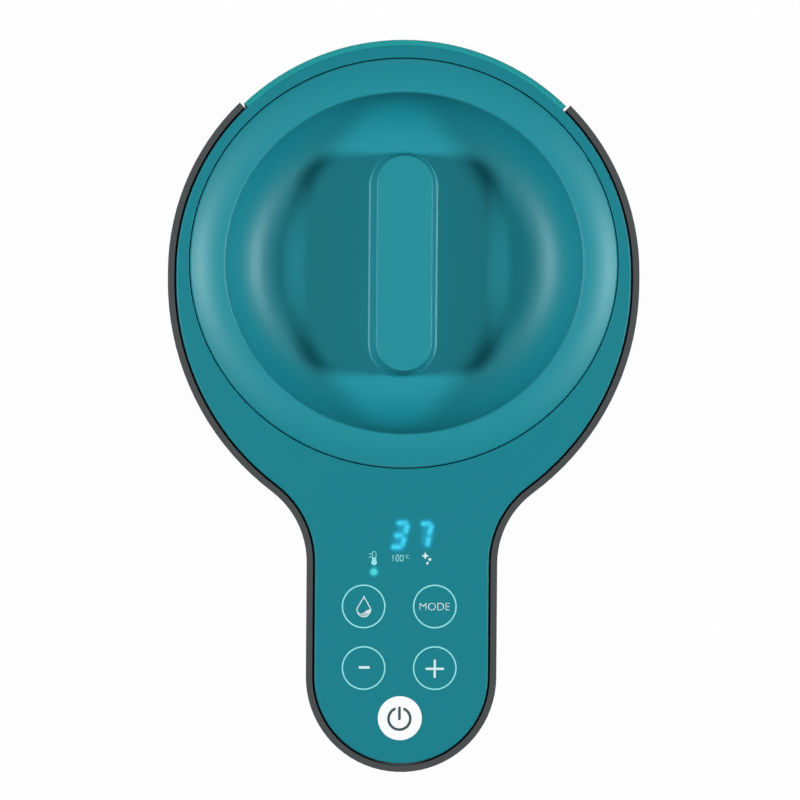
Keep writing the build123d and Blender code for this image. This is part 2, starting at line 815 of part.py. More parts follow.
with BuildPart() as pot_base:
    with BuildSketch(Plane.XZ.offset(-lid_y)):
        with BuildLine():
            inside = FilletPolyline(
                (0, pot_floor),
                (pot_radius, pot_floor),
                (pot_radius, pot_pan_top),
                radius=(pot_corner_radius,),
            )
            outside = FilletPolyline(
                (0, pot_bottom),
                (pot_outer_radius, pot_bottom),
                (pot_outer_radius, pot_pan_top),
                radius=(pot_corner_radius + pot_wall,),
            )
            Line(outside @ 0, inside @ 0)
            Line(outside @ 1, inside @ 1)
        make_face()
    revolve(axis=tank_axis)
    with BuildSketch(Plane.XY.offset(pot_bottom)):
        with Locations((0, pump_y)):
            Circle(spigot_radius + fitting_clearance)
        with Locations((0, probe_y)):
            Circle(probe_radius + fitting_clearance)
    extrude(amount=pot_wall, mode=Mode.SUBTRACT)
save(pot_base, "pot_base")

with BuildPart() as pot_rim_seal:
    with BuildSketch(Plane.XY.offset(pot_rim_top)):
        with Locations((0, lid_y)):
            Ellipse(collar_x_radius, collar_y_radius)
            Circle(pot_radius, mode=Mode.SUBTRACT)
    extrude(amount=rim_seal_thickness)
save(pot_rim_seal, "pot_rim_seal")

# Heater plate under the pot with the element ring let into it
element_z = heater_bottom - element_radius + element_sink
with BuildPart() as heater_plate:
    with BuildSketch(Plane.XY.offset(heater_bottom)):
        with Locations((0, lid_y)):
            Circle(heater_radius)
    extrude(amount=heater_thickness)
    with BuildSketch(Plane.XZ.offset(-lid_y)):
        with Locations((element_ring_radius, element_z)):
            Circle(element_radius + element_fit)
    revolve(axis=tank_axis, mode=Mode.SUBTRACT)
save(heater_plate, "heater_plate")

pin_angles = (element_arc - (360 - element_arc) / 4, (360 - element_arc) / 4)
with BuildPart() as heating_element:
    with BuildSketch(Plane.XZ.offset(-lid_y)):
        with Locations((element_ring_radius, element_z)):
            Circle(element_radius)
    revolve(axis=tank_axis, revolution_arc=element_arc)
    with BuildSketch(Plane.XY.offset(element_z)):
        with Locations((0, lid_y)):
            for angle in pin_angles:
                with PolarLocations(element_ring_radius, 1, start_angle=angle):
                    Circle(element_pin_radius)
    extrude(amount=-element_radius - element_pin_length)
save(heating_element, "heating_element")

with BuildPart() as thermostat:
    with BuildSketch(Plane.XY.offset(heater_bottom)):
        with Locations((0, lid_y)):
            Circle(thermostat_flange_radius)
    extrude(amount=-thermostat_flange_height)
    with BuildSketch(Plane.XY.offset(heater_bottom)):
        with Locations((0, lid_y)):
            Circle(thermostat_radius)
    extrude(amount=-thermostat_height)
    with BuildSketch(Plane.XY.offset(heater_bottom - thermostat_height)):
        with Locations((0, lid_y)):
            with GridLocations(thermostat_tab_spacing, thermostat_tab_width, 2, 1):
                Rectangle(thermostat_tab_thickness, thermostat_tab_width)
    extrude(amount=-thermostat_tab_length)
save(thermostat, "thermostat")

with BuildPart() as temperature_probe:
    with BuildSketch(Plane.XY.offset(pot_bottom - probe_tail)):
        with Locations((0, probe_y)):
            Circle(probe_radius)
    extrude(amount=probe_tail + pot_wall + probe_reach)
    fillet(edges().group_by(Axis.Z)[-1], radius=probe_radius * 2 / 3)
    with BuildSketch(Plane.XY.offset(pot_bottom)):
        with Locations((0, probe_y)):
            Circle(probe_flange_radius)
    extrude(amount=-probe_flange_height)
save(temperature_probe, "temperature_probe")

# Pot outlet straight above the pump inlet, with its nut and the short hose between them
with BuildPart() as pot_outlet:
    with BuildSketch(Plane.XY.offset(pot_floor)):
        with Locations((0, pump_y)):
            Circle(outlet_flange_radius)
    extrude(amount=outlet_flange_height)
    with BuildSketch(Plane.XY.offset(pot_floor)):
        with Locations((0, pump_y)):
            Circle(spigot_radius)
    extrude(amount=-pot_wall - outlet_length)
    with BuildSketch(Plane.XY.offset(pot_floor + outlet_flange_height)):
        with Locations((0, pump_y)):
            Circle(spigot_bore_radius)
    extrude(amount=-outlet_flange_height - pot_wall - outlet_length, mode=Mode.SUBTRACT)
save(pot_outlet, "pot_outlet")

with BuildPart() as outlet_nut:
    with BuildSketch(Plane.XY.offset(pot_bottom)):
        with Locations((0, pump_y)):
            RegularPolygon(nut_radius, 6)
            Circle(spigot_radius + hose_fit, mode=Mode.SUBTRACT)
    extrude(amount=-nut_height)
save(outlet_nut, "outlet_nut")

hose_foot = pump_cover_top + hose_end_gap
hose_head = pot_bottom - nut_height - hose_end_gap
with BuildPart() as suction_hose:
    with BuildSketch(Plane.XY.offset(hose_foot)):
        with Locations((0, pump_y)):
            Circle(hose_radius)
            Circle(spigot_radius + hose_fit, mode=Mode.SUBTRACT)
    extrude(amount=hose_head - hose_foot)
save(suction_hose, "suction_hose")

# Pump: cushion, motor, volute, cover, seal and impeller
with BuildPart() as pump_cushion:
    with BuildSketch(Plane.XY.offset(plate_top)):
        with Locations((0, pump_y)):
            Circle(cushion_radius)
    extrude(amount=cushion_height)
    with BuildSketch(Plane.XY.offset(motor_bottom)):
        with Locations((0, pump_y)):
            Circle(motor_radius + cushion_fit)
    extrude(amount=cushion_height, mode=Mode.SUBTRACT)
    with BuildSketch(Plane.XY.offset(plate_top)):
        with Locations((0, pump_y)):
            slot_across = motor_terminal_spacing + 2 * motor_terminal_width
            Rectangle(slot_across, cushion_radius + overrun, align=(Align.CENTER, Align.MIN))
            Rectangle(slot_across, 2 * motor_terminal_width)
    extrude(amount=cushion_floor, mode=Mode.SUBTRACT)
save(pump_cushion, "pump_cushion")

with BuildPart() as pump_motor:
    with BuildSketch(Plane.XY.offset(motor_bottom)):
        with Locations((0, pump_y)):
            Circle(motor_radius)
    extrude(amount=motor_length)
    fillet(edges().group_by(Axis.Z)[0], radius=motor_edge_radius)
    with BuildSketch(Plane.XY.offset(motor_bottom)):
        with Locations((0, pump_y)):
            with GridLocations(motor_terminal_spacing, motor_terminal_width, 2, 1):
                Rectangle(motor_terminal_thickness, motor_terminal_width)
    extrude(amount=motor_terminal_gap - cushion_floor)
    with BuildSketch(Plane.XY.offset(motor_top)):
        with Locations((0, pump_y)):
            Circle(shaft_radius + shaft_fit)
    extrude(amount=-shaft_depth - shaft_hole_gap, mode=Mode.SUBTRACT)
save(pump_motor, "pump_motor")

o_ring_circle = (chamber_radius + volute_radius) / 2
with BuildPart() as pump_housing:
    with BuildSketch(Plane.XY.offset(motor_top)):
        with Locations((0, pump_y)):
            Circle(volute_radius)
    extrude(amount=volute_height)
    with BuildSketch(Plane.YZ):
        with Locations((pump_outlet_y, pump_outlet_z)):
            Circle(spigot_radius)
    extrude(amount=pump_outlet_reach)
    with BuildSketch(Plane.XY.offset(motor_top + volute_floor)):
        with Locations((0, pump_y)):
            Circle(chamber_radius)
    extrude(amount=volute_height, mode=Mode.SUBTRACT)
    with BuildSketch(Plane.YZ):
        with Locations((pump_outlet_y, pump_outlet_z)):
            Circle(spigot_bore_radius)
    extrude(amount=pump_outlet_reach, mode=Mode.SUBTRACT)
    with BuildSketch(Plane.XY.offset(motor_top)):
        with Locations((0, pump_y)):
            Circle(shaft_radius + shaft_hole_gap)
    extrude(amount=volute_floor, mode=Mode.SUBTRACT)
    with BuildSketch(Plane.XZ.offset(-pump_y)):
        with Locations((o_ring_circle, volute_top)):
            Circle(o_ring_radius + o_ring_fit)
    revolve(axis=Axis((0, pump_y, 0), (0, 0, 1)), mode=Mode.SUBTRACT)
save(pump_housing, "pump_housing")

with BuildPart() as pump_cover:
    with BuildSketch(Plane.XY.offset(volute_top)):
        with Locations((0, pump_y)):
            Circle(volute_radius)
    extrude(amount=cover_plate_thickness)
    with BuildSketch(Plane.XY.offset(pump_cover_top)):
        with Locations((0, pump_y)):
            Circle(spigot_radius)
    extrude(amount=inlet_length)
    with BuildSketch(Plane.XY.offset(volute_top)):
        with Locations((0, pump_y)):
            Circle(spigot_bore_radius)
    extrude(amount=cover_plate_thickness + inlet_length, mode=Mode.SUBTRACT)
    with BuildSketch(Plane.XZ.offset(-pump_y)):
        with Locations((o_ring_circle, volute_top)):
            Circle(o_ring_radius + o_ring_fit)
    revolve(axis=Axis((0, pump_y, 0), (0, 0, 1)), mode=Mode.SUBTRACT)
save(pump_cover, "pump_cover")

with BuildPart() as pump_o_ring:
    with BuildSketch(Plane.XZ.offset(-pump_y)):
        with Locations((o_ring_circle, volute_top)):
            Circle(o_ring_radius)
    revolve(axis=Axis((0, pump_y, 0), (0, 0, 1)))
save(pump_o_ring, "pump_o_ring")

# Impeller: a disc with swept-back blades round a hub
impeller_bottom = motor_top + volute_floor + impeller_gap
blade_height = volute_height - volute_floor - 2 * impeller_gap - impeller_disc
blade_mid_radius = (impeller_hub_radius + impeller_radius) / 2
blade_outer_radius = blade_curve_radius + blade_thickness / 2
with BuildPart() as impeller:
    with BuildSketch(Plane.XY.offset(impeller_bottom)):
        with Locations((0, pump_y)):
            Circle(impeller_radius)
    extrude(amount=impeller_disc)
    with BuildSketch(Plane.XY.offset(impeller_bottom)):
        with Locations((0, pump_y)):
            with PolarLocations(blade_mid_radius, blade_count):
                with Locations((0, blade_curve_radius)):
                    Circle(blade_outer_radius)
                    Circle(blade_outer_radius - blade_thickness, mode=Mode.SUBTRACT)
            Circle(impeller_radius, mode=Mode.INTERSECT)
            Circle(impeller_hub_radius)
    extrude(amount=impeller_disc + blade_height)
    with BuildSketch(Plane.XY.offset(impeller_bottom)):
        with Locations((0, pump_y)):
            Circle(shaft_radius + shaft_fit)
    extrude(amount=impeller_disc + blade_height, mode=Mode.SUBTRACT)
save(impeller, "impeller")

with BuildPart() as motor_shaft:
    with BuildSketch(Plane.XY.offset(motor_top - shaft_depth)):
        with Locations((0, pump_y)):
            Circle(shaft_radius)
    extrude(amount=shaft_depth + volute_floor + impeller_gap + impeller_disc + blade_height)
save(motor_shaft, "motor_shaft")

# Nozzle with a side spigot that points at the riser of the delivery hose
riser_place = Vector(riser_x, pump_outlet_y, hose_z)
nozzle_place = Vector(0, nose_y, hose_z)
spigot_aim = (riser_place - nozzle_place).normalized()
nozzle_seat = head_floor + gasket_thickness
nozzle_tip = head_bottom - nozzle_drop
nozzle_top = hose_z + spigot_radius + nozzle_cap
nozzle_axis = Axis((0, nose_y, 0), (0, 0, 1))
with BuildPart() as nozzle:
    with BuildSketch(Plane.XZ.offset(-nose_y)):
        with BuildLine():
            Polyline(
                (0, nozzle_tip),
                (nozzle_tip_radius, nozzle_tip),
                (nozzle_radius, nozzle_tip + nozzle_cone),
                (nozzle_radius, nozzle_seat),
                (nozzle_flange_radius, nozzle_seat),
                (nozzle_flange_radius, nozzle_seat + nozzle_flange_height),
                (nozzle_body_radius, nozzle_seat + nozzle_flange_height),
                (nozzle_body_radius, nozzle_top),
                (0, nozzle_top),
                close=True,
            )
        make_face()
    revolve(axis=nozzle_axis)
    with BuildSketch(Plane(origin=nozzle_place, z_dir=spigot_aim)):
        Circle(spigot_radius)
    extrude(amount=barb_reach)
    with BuildSketch(Plane(origin=nozzle_place, z_dir=spigot_aim)):
        Circle(spigot_bore_radius)
    extrude(amount=barb_reach, mode=Mode.SUBTRACT)
    with BuildSketch(Plane.XY.offset(nozzle_tip)):
        with Locations((0, nose_y)):
            Circle(nozzle_bore_radius)
    extrude(amount=hose_z - nozzle_tip, mode=Mode.SUBTRACT)
save(nozzle, "nozzle")

with BuildPart() as nozzle_gasket:
    with BuildSketch(Plane.XY.offset(head_floor)):
        with Locations((0, nose_y)):
            Circle(nozzle_flange_radius)
            Circle(nozzle_radius + nozzle_hole_gap, mode=Mode.SUBTRACT)
    extrude(amount=gasket_thickness)
save(nozzle_gasket, "nozzle_gasket")

# Delivery hose: out of the pump, up the column and along the head to the nozzle
hose_start_x = sqrt(volute_radius**2 - pump_outlet_offset**2) + spigot_radius
hose_stop = nozzle_place + spigot_aim * (nozzle_body_radius + hose_end_gap)
with BuildPart() as delivery_hose:
    with BuildLine():
        hose_path = FilletPolyline(
            (hose_start_x, pump_outlet_y, pump_outlet_z),
            (riser_x, pump_outlet_y, pump_outlet_z),
            riser_place,
            hose_stop,
            radius=(riser_bend_radius, head_bend_radius),
        )
    with BuildSketch(Plane(origin=hose_path @ 0, z_dir=hose_path % 0)):
        Circle(hose_radius)
        Circle(spigot_radius + hose_fit, mode=Mode.SUBTRACT)
    sweep()
save(delivery_hose, "delivery_hose")

# Drip tray lying on the deck by its rim, with the grille sunk in it
with BuildPart() as drip_tray:
    with BuildSketch(Plane.XZ.offset(-nose_y)):
        with BuildLine():
            outside = FilletPolyline(
                (0, tray_bottom),
                (tray_radius, tray_bottom),
                (tray_radius, tray_rim_bottom),
                (tray_radius + tray_rim_width, tray_rim_bottom),
                (tray_radius + tray_rim_width, tray_rim_top),
                radius=(tray_corner_radius, 0, 0),
            )
            inside = FilletPolyline(
                (0, tray_bottom + tray_floor),
                (tray_radius - tray_wall, tray_bottom + tray_floor),
                (tray_radius - tray_wall, grille_seat),
                (grille_radius + grille_gap, grille_seat),
                (grille_radius + grille_gap, tray_rim_top),
                radius=(tray_corner_radius - tray_floor / 2, 0, 0),
            )
            Line(outside @ 0, inside @ 0)
            Line(outside @ 1, inside @ 1)
        make_face()
    revolve(axis=Axis((0, nose_y, 0), (0, 0, 1)))
save(drip_tray, "drip_tray")

slot_reach = grille_radius - slot_margin
slot_half_count = int(slot_reach / slot_pitch)
with BuildPart() as drip_grille:
    with BuildSketch(Plane.XY.offset(grille_seat + grille_rest_gap)):
        with Locations((0, nose_y)):
            Circle(grille_radius)
        for step in range(-slot_half_count, slot_half_count + 1):
            slot_x = step * slot_pitch
            with Locations((slot_x, nose_y)):
                slot_length = 2 * sqrt(slot_reach**2 - slot_x**2)
                SlotOverall(slot_length, slot_width, rotation=90, mode=Mode.SUBTRACT)
    extrude(amount=grille_thickness)
save(drip_grille, "drip_grille")

# Power board and what stands on it
with BuildPart() as power_board:
    with BuildSketch(Plane.XY.offset(board_bottom)):
        with Locations((0, board_y)):
            RectangleRounded(board_width, board_depth, board_corner_radius)
        with Locations(*standoff_places):
            Circle(screw_radius + screw_hole_gap, mode=Mode.SUBTRACT)
    extrude(amount=board_thickness)
save(power_board, "power_board")

board_screw_reach = board_thickness + board_screw_length - screw_tip_gap
power_board_screws = screw_group(standoff_places, board_top, board_screw_reach, -1)
save(power_board_screws, "power_board_screws")

# Places on the board as shares of its half width and half depth
block_shares = (
    (transformer_size, (-0.45, -0.25)),
    (relay_size, (0.25, 0.45)),
    (terminal_size, (0.75, -0.1)),
    (heat_sink_size, (-0.4, 0.7)),
)
capacitor_shares = ((0.1, -0.55), (0.4, -0.55), (0.4, -0.15))
with BuildPart() as board_parts:
    for (width, depth, height), (x_share, y_share) in block_shares:
        with BuildSketch(Plane.XY.offset(board_top)):
            with Locations((x_share * board_width / 2, board_y + y_share * board_depth / 2)):
                Rectangle(width, depth)
        extrude(amount=height)
    with BuildSketch(Plane.XY.offset(board_top)):
        for x_share, y_share in capacitor_shares:
            with Locations((x_share * board_width / 2, board_y + y_share * board_depth / 2)):
                Circle(capacitor_radius)
    extrude(amount=capacitor_height)
save(board_parts, "board_parts")

# Touch board with display, indicator lights and the pads behind the five keys
with BuildPart() as touch_board:
    with BuildSketch(Plane.XY.offset(touch_bottom)):
        with Locations((0, touch_board_y)):
            RectangleRounded(touch_board_width, touch_board_length, touch_corner_radius)
        with Locations(*post_places):
            Circle(screw_radius + screw_hole_gap, mode=Mode.SUBTRACT)
    extrude(amount=board_thickness)
save(touch_board, "touch_board")

touch_screw_length = board_thickness + post_depth - screw_tip_gap
touch_board_screws = screw_group(post_places, touch_bottom, touch_screw_length, 1)
save(touch_board_screws, "touch_board_screws")

with BuildPart() as display_module:
    with BuildSketch(Plane.XY.offset(touch_top)):
        with Locations((0, display_y)):
            Rectangle(display_width, display_depth)
    extrude(amount=touch_gap - display_gap)
save(display_module, "display_module")

with BuildPart() as indicator_leds:
    with BuildSketch(Plane.XY.offset(touch_top)):
        with Locations((0, led_y)):
            with GridLocations(digit_pitch, digit_pitch, 3, 1):
                Circle(led_radius)
    extrude(amount=touch_gap - led_gap)
    fillet(edges().group_by(Axis.Z)[-1], radius=led_radius / 2)
save(indicator_leds, "indicator_leds")

with BuildPart() as touch_pads:
    with BuildSketch(Plane.XY.offset(touch_top)):
        with Locations(*key_places):
            Circle(pad_radius)
    extrude(amount=touch_gap - pad_press_gap)
save(touch_pads, "touch_pads")
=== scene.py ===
import json
import math

import bmesh
import bpy
from mathutils import Matrix, Vector


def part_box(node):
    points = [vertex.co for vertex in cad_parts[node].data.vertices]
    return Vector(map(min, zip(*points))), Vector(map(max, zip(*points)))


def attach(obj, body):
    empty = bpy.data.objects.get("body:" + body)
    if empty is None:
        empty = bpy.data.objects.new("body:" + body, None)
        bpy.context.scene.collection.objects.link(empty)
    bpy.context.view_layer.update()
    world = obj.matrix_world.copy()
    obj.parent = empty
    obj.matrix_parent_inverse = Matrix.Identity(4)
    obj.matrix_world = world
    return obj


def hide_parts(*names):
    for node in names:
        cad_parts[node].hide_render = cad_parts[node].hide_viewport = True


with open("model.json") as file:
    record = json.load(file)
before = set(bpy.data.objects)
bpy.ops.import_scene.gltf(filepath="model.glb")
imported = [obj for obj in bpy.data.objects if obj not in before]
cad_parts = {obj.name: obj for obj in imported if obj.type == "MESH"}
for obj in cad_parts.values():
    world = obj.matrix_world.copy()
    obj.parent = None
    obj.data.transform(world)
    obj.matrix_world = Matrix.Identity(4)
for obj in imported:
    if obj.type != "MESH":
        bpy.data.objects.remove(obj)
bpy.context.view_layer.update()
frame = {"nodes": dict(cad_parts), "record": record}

scene = bpy.context.scene
nodes = frame["nodes"]
mm = 0.001
panelTop = max(v.co.z for v in nodes["top_panel"].data.vertices)
print("frame loaded", len(nodes), "nodes")

# camera straight over the lid, a little to its left
cameraSetup = {
    "place": (-0.034, 0.014, 1.562),
    "aim": (-0.0012, 0.0017, 0.262),
    "focal": 154.2,
    "sensor": 36,
    "farClip": 200,
    "roll": 0.42,
}


# looks from a place at a target, with the given way up
def lookFrom(place, target, along):
    back = (place - target).normalized()
    right = along.cross(back).normalized()
    axes = Matrix((right, back.cross(right), back)).transposed().to_4x4()
    return Matrix.Translation(place) @ axes


def placeCamera(setup):
    lens = bpy.data.cameras.new("photoCamera")
    lens.lens = setup["focal"]
    lens.sensor_width = setup["sensor"]
    lens.clip_end = setup["farClip"]
    camera = bpy.data.objects.new("photoCamera", lens)
    scene.collection.objects.link(camera)
    roll = Matrix.Rotation(math.radians(setup["roll"]), 4, "Z")
    turn = lookFrom(Vector(setup["place"]), Vector(setup["aim"]), Vector((0, 1, 0)))
    camera.matrix_world = turn @ roll
    scene.camera = camera


placeCamera(cameraSetup)

# strip boxes left and right, low fills in front and behind, and a dim room
lampSetup = {
    "leftBox": {"place": (-1.20, 0.05, 1.29), "size": (0.24, 0.26), "power": 17.8, "up": (0, 1, 0)},
    "rightBox": {"place": (1.29, 0.05, 1.18), "size": (0.22, 0.26), "power": 18.6, "up": (0, 1, 0)},
    "frontFill": {"place": (0.0, -1.60, 0.45), "size": (0.90, 0.40), "power": 2.4, "up": (0, 0, 1)},
    "backFill": {"place": (0.0, 1.60, 0.45), "size": (0.90, 0.40), "power": 1.6, "up": (0, 0, 1)},
}
lampTarget = Vector((0, 0.02, 0.25))
roomSetup = {"colour": (1, 1, 1, 1), "strength": 0.03}


def placeLamps(setup):
    for name, lamp in setup.items():
        light = bpy.data.lights.new(name, "AREA")
        light.shape = "RECTANGLE"
        light.size, light.size_y = lamp["size"]
        light.energy = lamp["power"]
        holder = bpy.data.objects.new(name, light)
        scene.collection.objects.link(holder)
        holder.matrix_world = lookFrom(Vector(lamp["place"]), lampTarget, Vector(lamp["up"]))


def fillRoom(setup):
    room = bpy.data.worlds.new("studioRoom")
    room.use_nodes = True
    background = room.node_tree.nodes["Background"]
    background.inputs["Color"].default_value = setup["colour"]
    background.inputs["Strength"].default_value = setup["strength"]
    scene.world = room


placeLamps(lampSetup)
fillRoom(roomSetup)
scene.view_settings.view_transform = "Standard"
print("camera and lamps placed")


# node helpers: an input takes a value, or a socket to link from
def addNode(tree, kind, inputs=None, **settings):
    made = tree.nodes.new(kind)
    for name, value in settings.items():
        setattr(made, name, value)
    for name, value in (inputs or {}).items():
        if isinstance(value, bpy.types.NodeSocket):
            tree.links.new(value, made.inputs[name])
        else:
            made.inputs[name].default_value = value
    return made


def placeGroup(tree, group, inputs):
    return addNode(tree, "ShaderNodeGroup", inputs, node_tree=group)


def mixColours(tree, factor, first, second):
    mixed = addNode(tree, "ShaderNodeMix", {0: factor, 6: first, 7: second}, data_type="RGBA")
    return mixed.outputs[2]


def mapValue(tree, value, low, high):
    spread = addNode(tree, "ShaderNodeMapRange", {"Value": value, "To Min": low, "To Max": high})
    return spread.outputs["Result"]


def startGroup(name, inputs, outputs):
    tree = bpy.data.node_groups.new(name, "ShaderNodeTree")
    for label, kind in inputs.items():
        tree.interface.new_socket(label, in_out="INPUT", socket_type=kind)
    for label in outputs:
        tree.interface.new_socket(label, in_out="OUTPUT", socket_type="NodeSocketFloat")
    return tree, tree.nodes.new("NodeGroupInput"), tree.nodes.new("NodeGroupOutput")


# spark-eroded grain with slow clouds in tone and gloss, for every moulded piece
def makeMouldedGrain():
    inputs = {
        "Coords": "NodeSocketVector", "Grain Scale": "NodeSocketFloat", "Cloud Scale": "NodeSocketFloat"}
    tree, entry, leave = startGroup("mouldedGrain", inputs, ("Height", "Clouds"))
    fine = addNode(tree, "ShaderNodeTexNoise", {
        "Vector": entry.outputs["Coords"], "Scale": entry.outputs["Grain Scale"],
        "Detail": 3.0, "Roughness": 0.6})
    slow = addNode(tree, "ShaderNodeTexNoise", {
        "Vector": entry.outputs["Coords"], "Scale": entry.outputs["Cloud Scale"],
        "Detail": 2.0, "Roughness": 0.5})
    tree.links.new(fine.outputs["Fac"], leave.inputs["Height"])
    tree.links.new(slow.outputs["Fac"], leave.inputs["Clouds"])
    return tree


# hair-thin rubbing marks, for what gets touched, washed or slid about
def makeRubbedLines():
    inputs = {"Coords": "NodeSocketVector", "Scale": "NodeSocketFloat", "Width": "NodeSocketFloat"}
    tree, entry, leave = startGroup("rubbedLines", inputs, ("Lines",))
    wander = addNode(tree, "ShaderNodeTexNoise", {
        "Vector": entry.outputs["Coords"], "Scale": entry.outputs["Scale"],
        "Detail": 1.0, "Distortion": 1.6})
    offset = addNode(tree, "ShaderNodeMath", {0: wander.outputs["Fac"], 1: 0.5}, operation="SUBTRACT")
    away = addNode(tree, "ShaderNodeMath", {0: offset.outputs[0]}, operation="ABSOLUTE")
    lines = addNode(tree, "ShaderNodeMapRange", {
        "Value": away.outputs[0], "From Min": 0.0, "From Max": entry.outputs["Width"],
        "To Min": 1.0, "To Max": 0.0})
    tree.links.new(lines.outputs["Result"], leave.inputs["Lines"])
    return tree


# fine parallel drawing lines in metal, along whichever axis is squeezed
def makeBrushedMetal():
    inputs = {"Coords": "NodeSocketVector", "Squeeze": "NodeSocketVector", "Scale": "NodeSocketFloat"}
    tree, entry, leave = startGroup("brushedMetal", inputs, ("Height", "Streaks"))
    squeezed = addNode(tree, "ShaderNodeVectorMath", {
        0: entry.outputs["Coords"], 1: entry.outputs["Squeeze"]}, operation="MULTIPLY")
    hairs = addNode(tree, "ShaderNodeTexNoise", {
        "Vector": squeezed.outputs[0], "Scale": entry.outputs["Scale"], "Detail": 4.0, "Roughness": 0.65})
    bands = addNode(tree, "ShaderNodeTexNoise", {
        "Vector": squeezed.outputs[0], "Scale": 40.0, "Detail": 2.0})
    tree.links.new(hairs.outputs["Fac"], leave.inputs["Height"])
    tree.links.new(bands.outputs["Fac"], leave.inputs["Streaks"])
    return tree


mouldedGrain = makeMouldedGrain()
rubbedLines = makeRubbedLines()
brushedMetal = makeBrushedMetal()


def startMaterial(name):
    material = bpy.data.materials.new(name)
    material.use_nodes = True
    tree = material.node_tree
    coords = addNode(tree, "ShaderNodeTexCoord").outputs["Object"]
    return material, tree, tree.nodes["Principled BSDF"], coords


def feed(tree, shader, links=None, **values):
    for name, socket in (links or {}).items():
        tree.links.new(socket, shader.inputs[name])
    for name, value in values.items():
        shader.inputs[name.replace("_", " ")].default_value = value


plasticFinishes = {
    "tealPlastic": {
        "colour": (0.004, 0.236, 0.288, 1), "shade": (0.005, 0.222, 0.274, 1), "rough": (0.46, 0.52),
        "grain": 2600.0, "clouds": 16.0, "bump": 0.06, "rub": 0.0, "specular": 0.34},
    "tealLid": {
        "colour": (0.008, 0.290, 0.352, 1), "shade": (0.009, 0.278, 0.338, 1), "rough": (0.46, 0.52),
        "grain": 2600.0, "clouds": 16.0, "bump": 0.06, "rub": 0.0, "specular": 0.66,
        "tint": (0.72, 0.96, 1.0, 1)},
    # a lighter copy of the teal plastic for the rear cover and its lip: painted light, brightened to stand in
    # for the light falling on the cover's rim
    "tealCoverPaintedLight": {
        "colour": (0.006, 0.345, 0.352, 1), "shade": (0.006, 0.322, 0.338, 1), "rough": (0.46, 0.52),
        "grain": 2200.0, "clouds": 14.0, "bump": 0.08, "rub": 0.0, "specular": 0.50},
    "charcoalPlastic": {
        "colour": (0.072, 0.078, 0.080, 1), "shade": (0.062, 0.068, 0.070, 1), "rough": (0.46, 0.56),
        "grain": 1700.0, "clouds": 22.0, "bump": 0.16, "rub": 0.05, "specular": 0.35},
    "blackPlastic": {
        "colour": (0.016, 0.016, 0.018, 1), "shade": (0.022, 0.022, 0.024, 1), "rough": (0.48, 0.60),
        "grain": 1500.0, "clouds": 30.0, "bump": 0.20, "rub": 0.10, "specular": 0.4},
    "whitePlastic": {
        "colour": (0.76, 0.77, 0.75, 1), "shade": (0.70, 0.71, 0.70, 1), "rough": (0.30, 0.40),
        "grain": 1900.0, "clouds": 24.0, "bump": 0.06, "rub": 0.04, "specular": 0.45},
    "smokePlastic": {
        "colour": (0.045, 0.050, 0.054, 1), "shade": (0.036, 0.040, 0.044, 1), "rough": (0.28, 0.38),
        "grain": 1900.0, "clouds": 26.0, "bump": 0.08, "rub": 0.10, "specular": 0.45},
    "rubberBlack": {
        "colour": (0.018, 0.018, 0.018, 1), "shade": (0.028, 0.027, 0.026, 1), "rough": (0.70, 0.85),
        "grain": 1100.0, "clouds": 60.0, "bump": 0.35, "rub": 0.15, "specular": 0.3},
    "siliconeClear": {
        "colour": (0.72, 0.75, 0.74, 1), "shade": (0.64, 0.68, 0.67, 1), "rough": (0.34, 0.46),
        "grain": 900.0, "clouds": 40.0, "bump": 0.10, "rub": 0.0, "specular": 0.4},
    "foamGrey": {
        "colour": (0.070, 0.070, 0.075, 1), "shade": (0.11, 0.11, 0.115, 1), "rough": (0.85, 0.95),
        "grain": 700.0, "clouds": 90.0, "bump": 0.6, "rub": 0.0, "specular": 0.2},
    "lampPlastic": {
        "colour": (0.70, 0.84, 0.84, 1), "shade": (0.60, 0.78, 0.80, 1), "rough": (0.12, 0.20),
        "grain": 900.0, "clouds": 120.0, "bump": 0.02, "rub": 0.0, "specular": 0.5},
    "inkAqua": {
        "colour": (0.36, 0.88, 0.90, 1), "shade": (0.30, 0.82, 0.85, 1), "rough": (0.42, 0.50),
        "grain": 1500.0, "clouds": 150.0, "bump": 0.02, "rub": 0.0, "specular": 0.25},
    "inkPale": {
        "colour": (0.72, 0.94, 0.95, 1), "shade": (0.66, 0.90, 0.91, 1), "rough": (0.42, 0.50),
        "grain": 1500.0, "clouds": 150.0, "bump": 0.02, "rub": 0.0, "specular": 0.25},
    # white for the power disc, with a painted glow: it emits a little of its own colour though it is no lamp
    "glowPaintedWhite": {
        "colour": (0.94, 0.95, 0.95, 1), "shade": (0.91, 0.93, 0.93, 1), "rough": (0.42, 0.50),
        "grain": 1500.0, "clouds": 90.0, "bump": 0.02, "rub": 0.0, "specular": 0.25, "paintedGlow": 0.13},
    "inkSlate": {
        "colour": (0.052, 0.108, 0.116, 1), "shade": (0.046, 0.098, 0.106, 1), "rough": (0.42, 0.50),
        "grain": 1500.0, "clouds": 150.0, "bump": 0.02, "rub": 0.0, "specular": 0.25},
}


rubWidth = 0.012  # of the rubbing marks, in steps of their noise
grainDepth = 0.0002
hairDepth = 0.0001


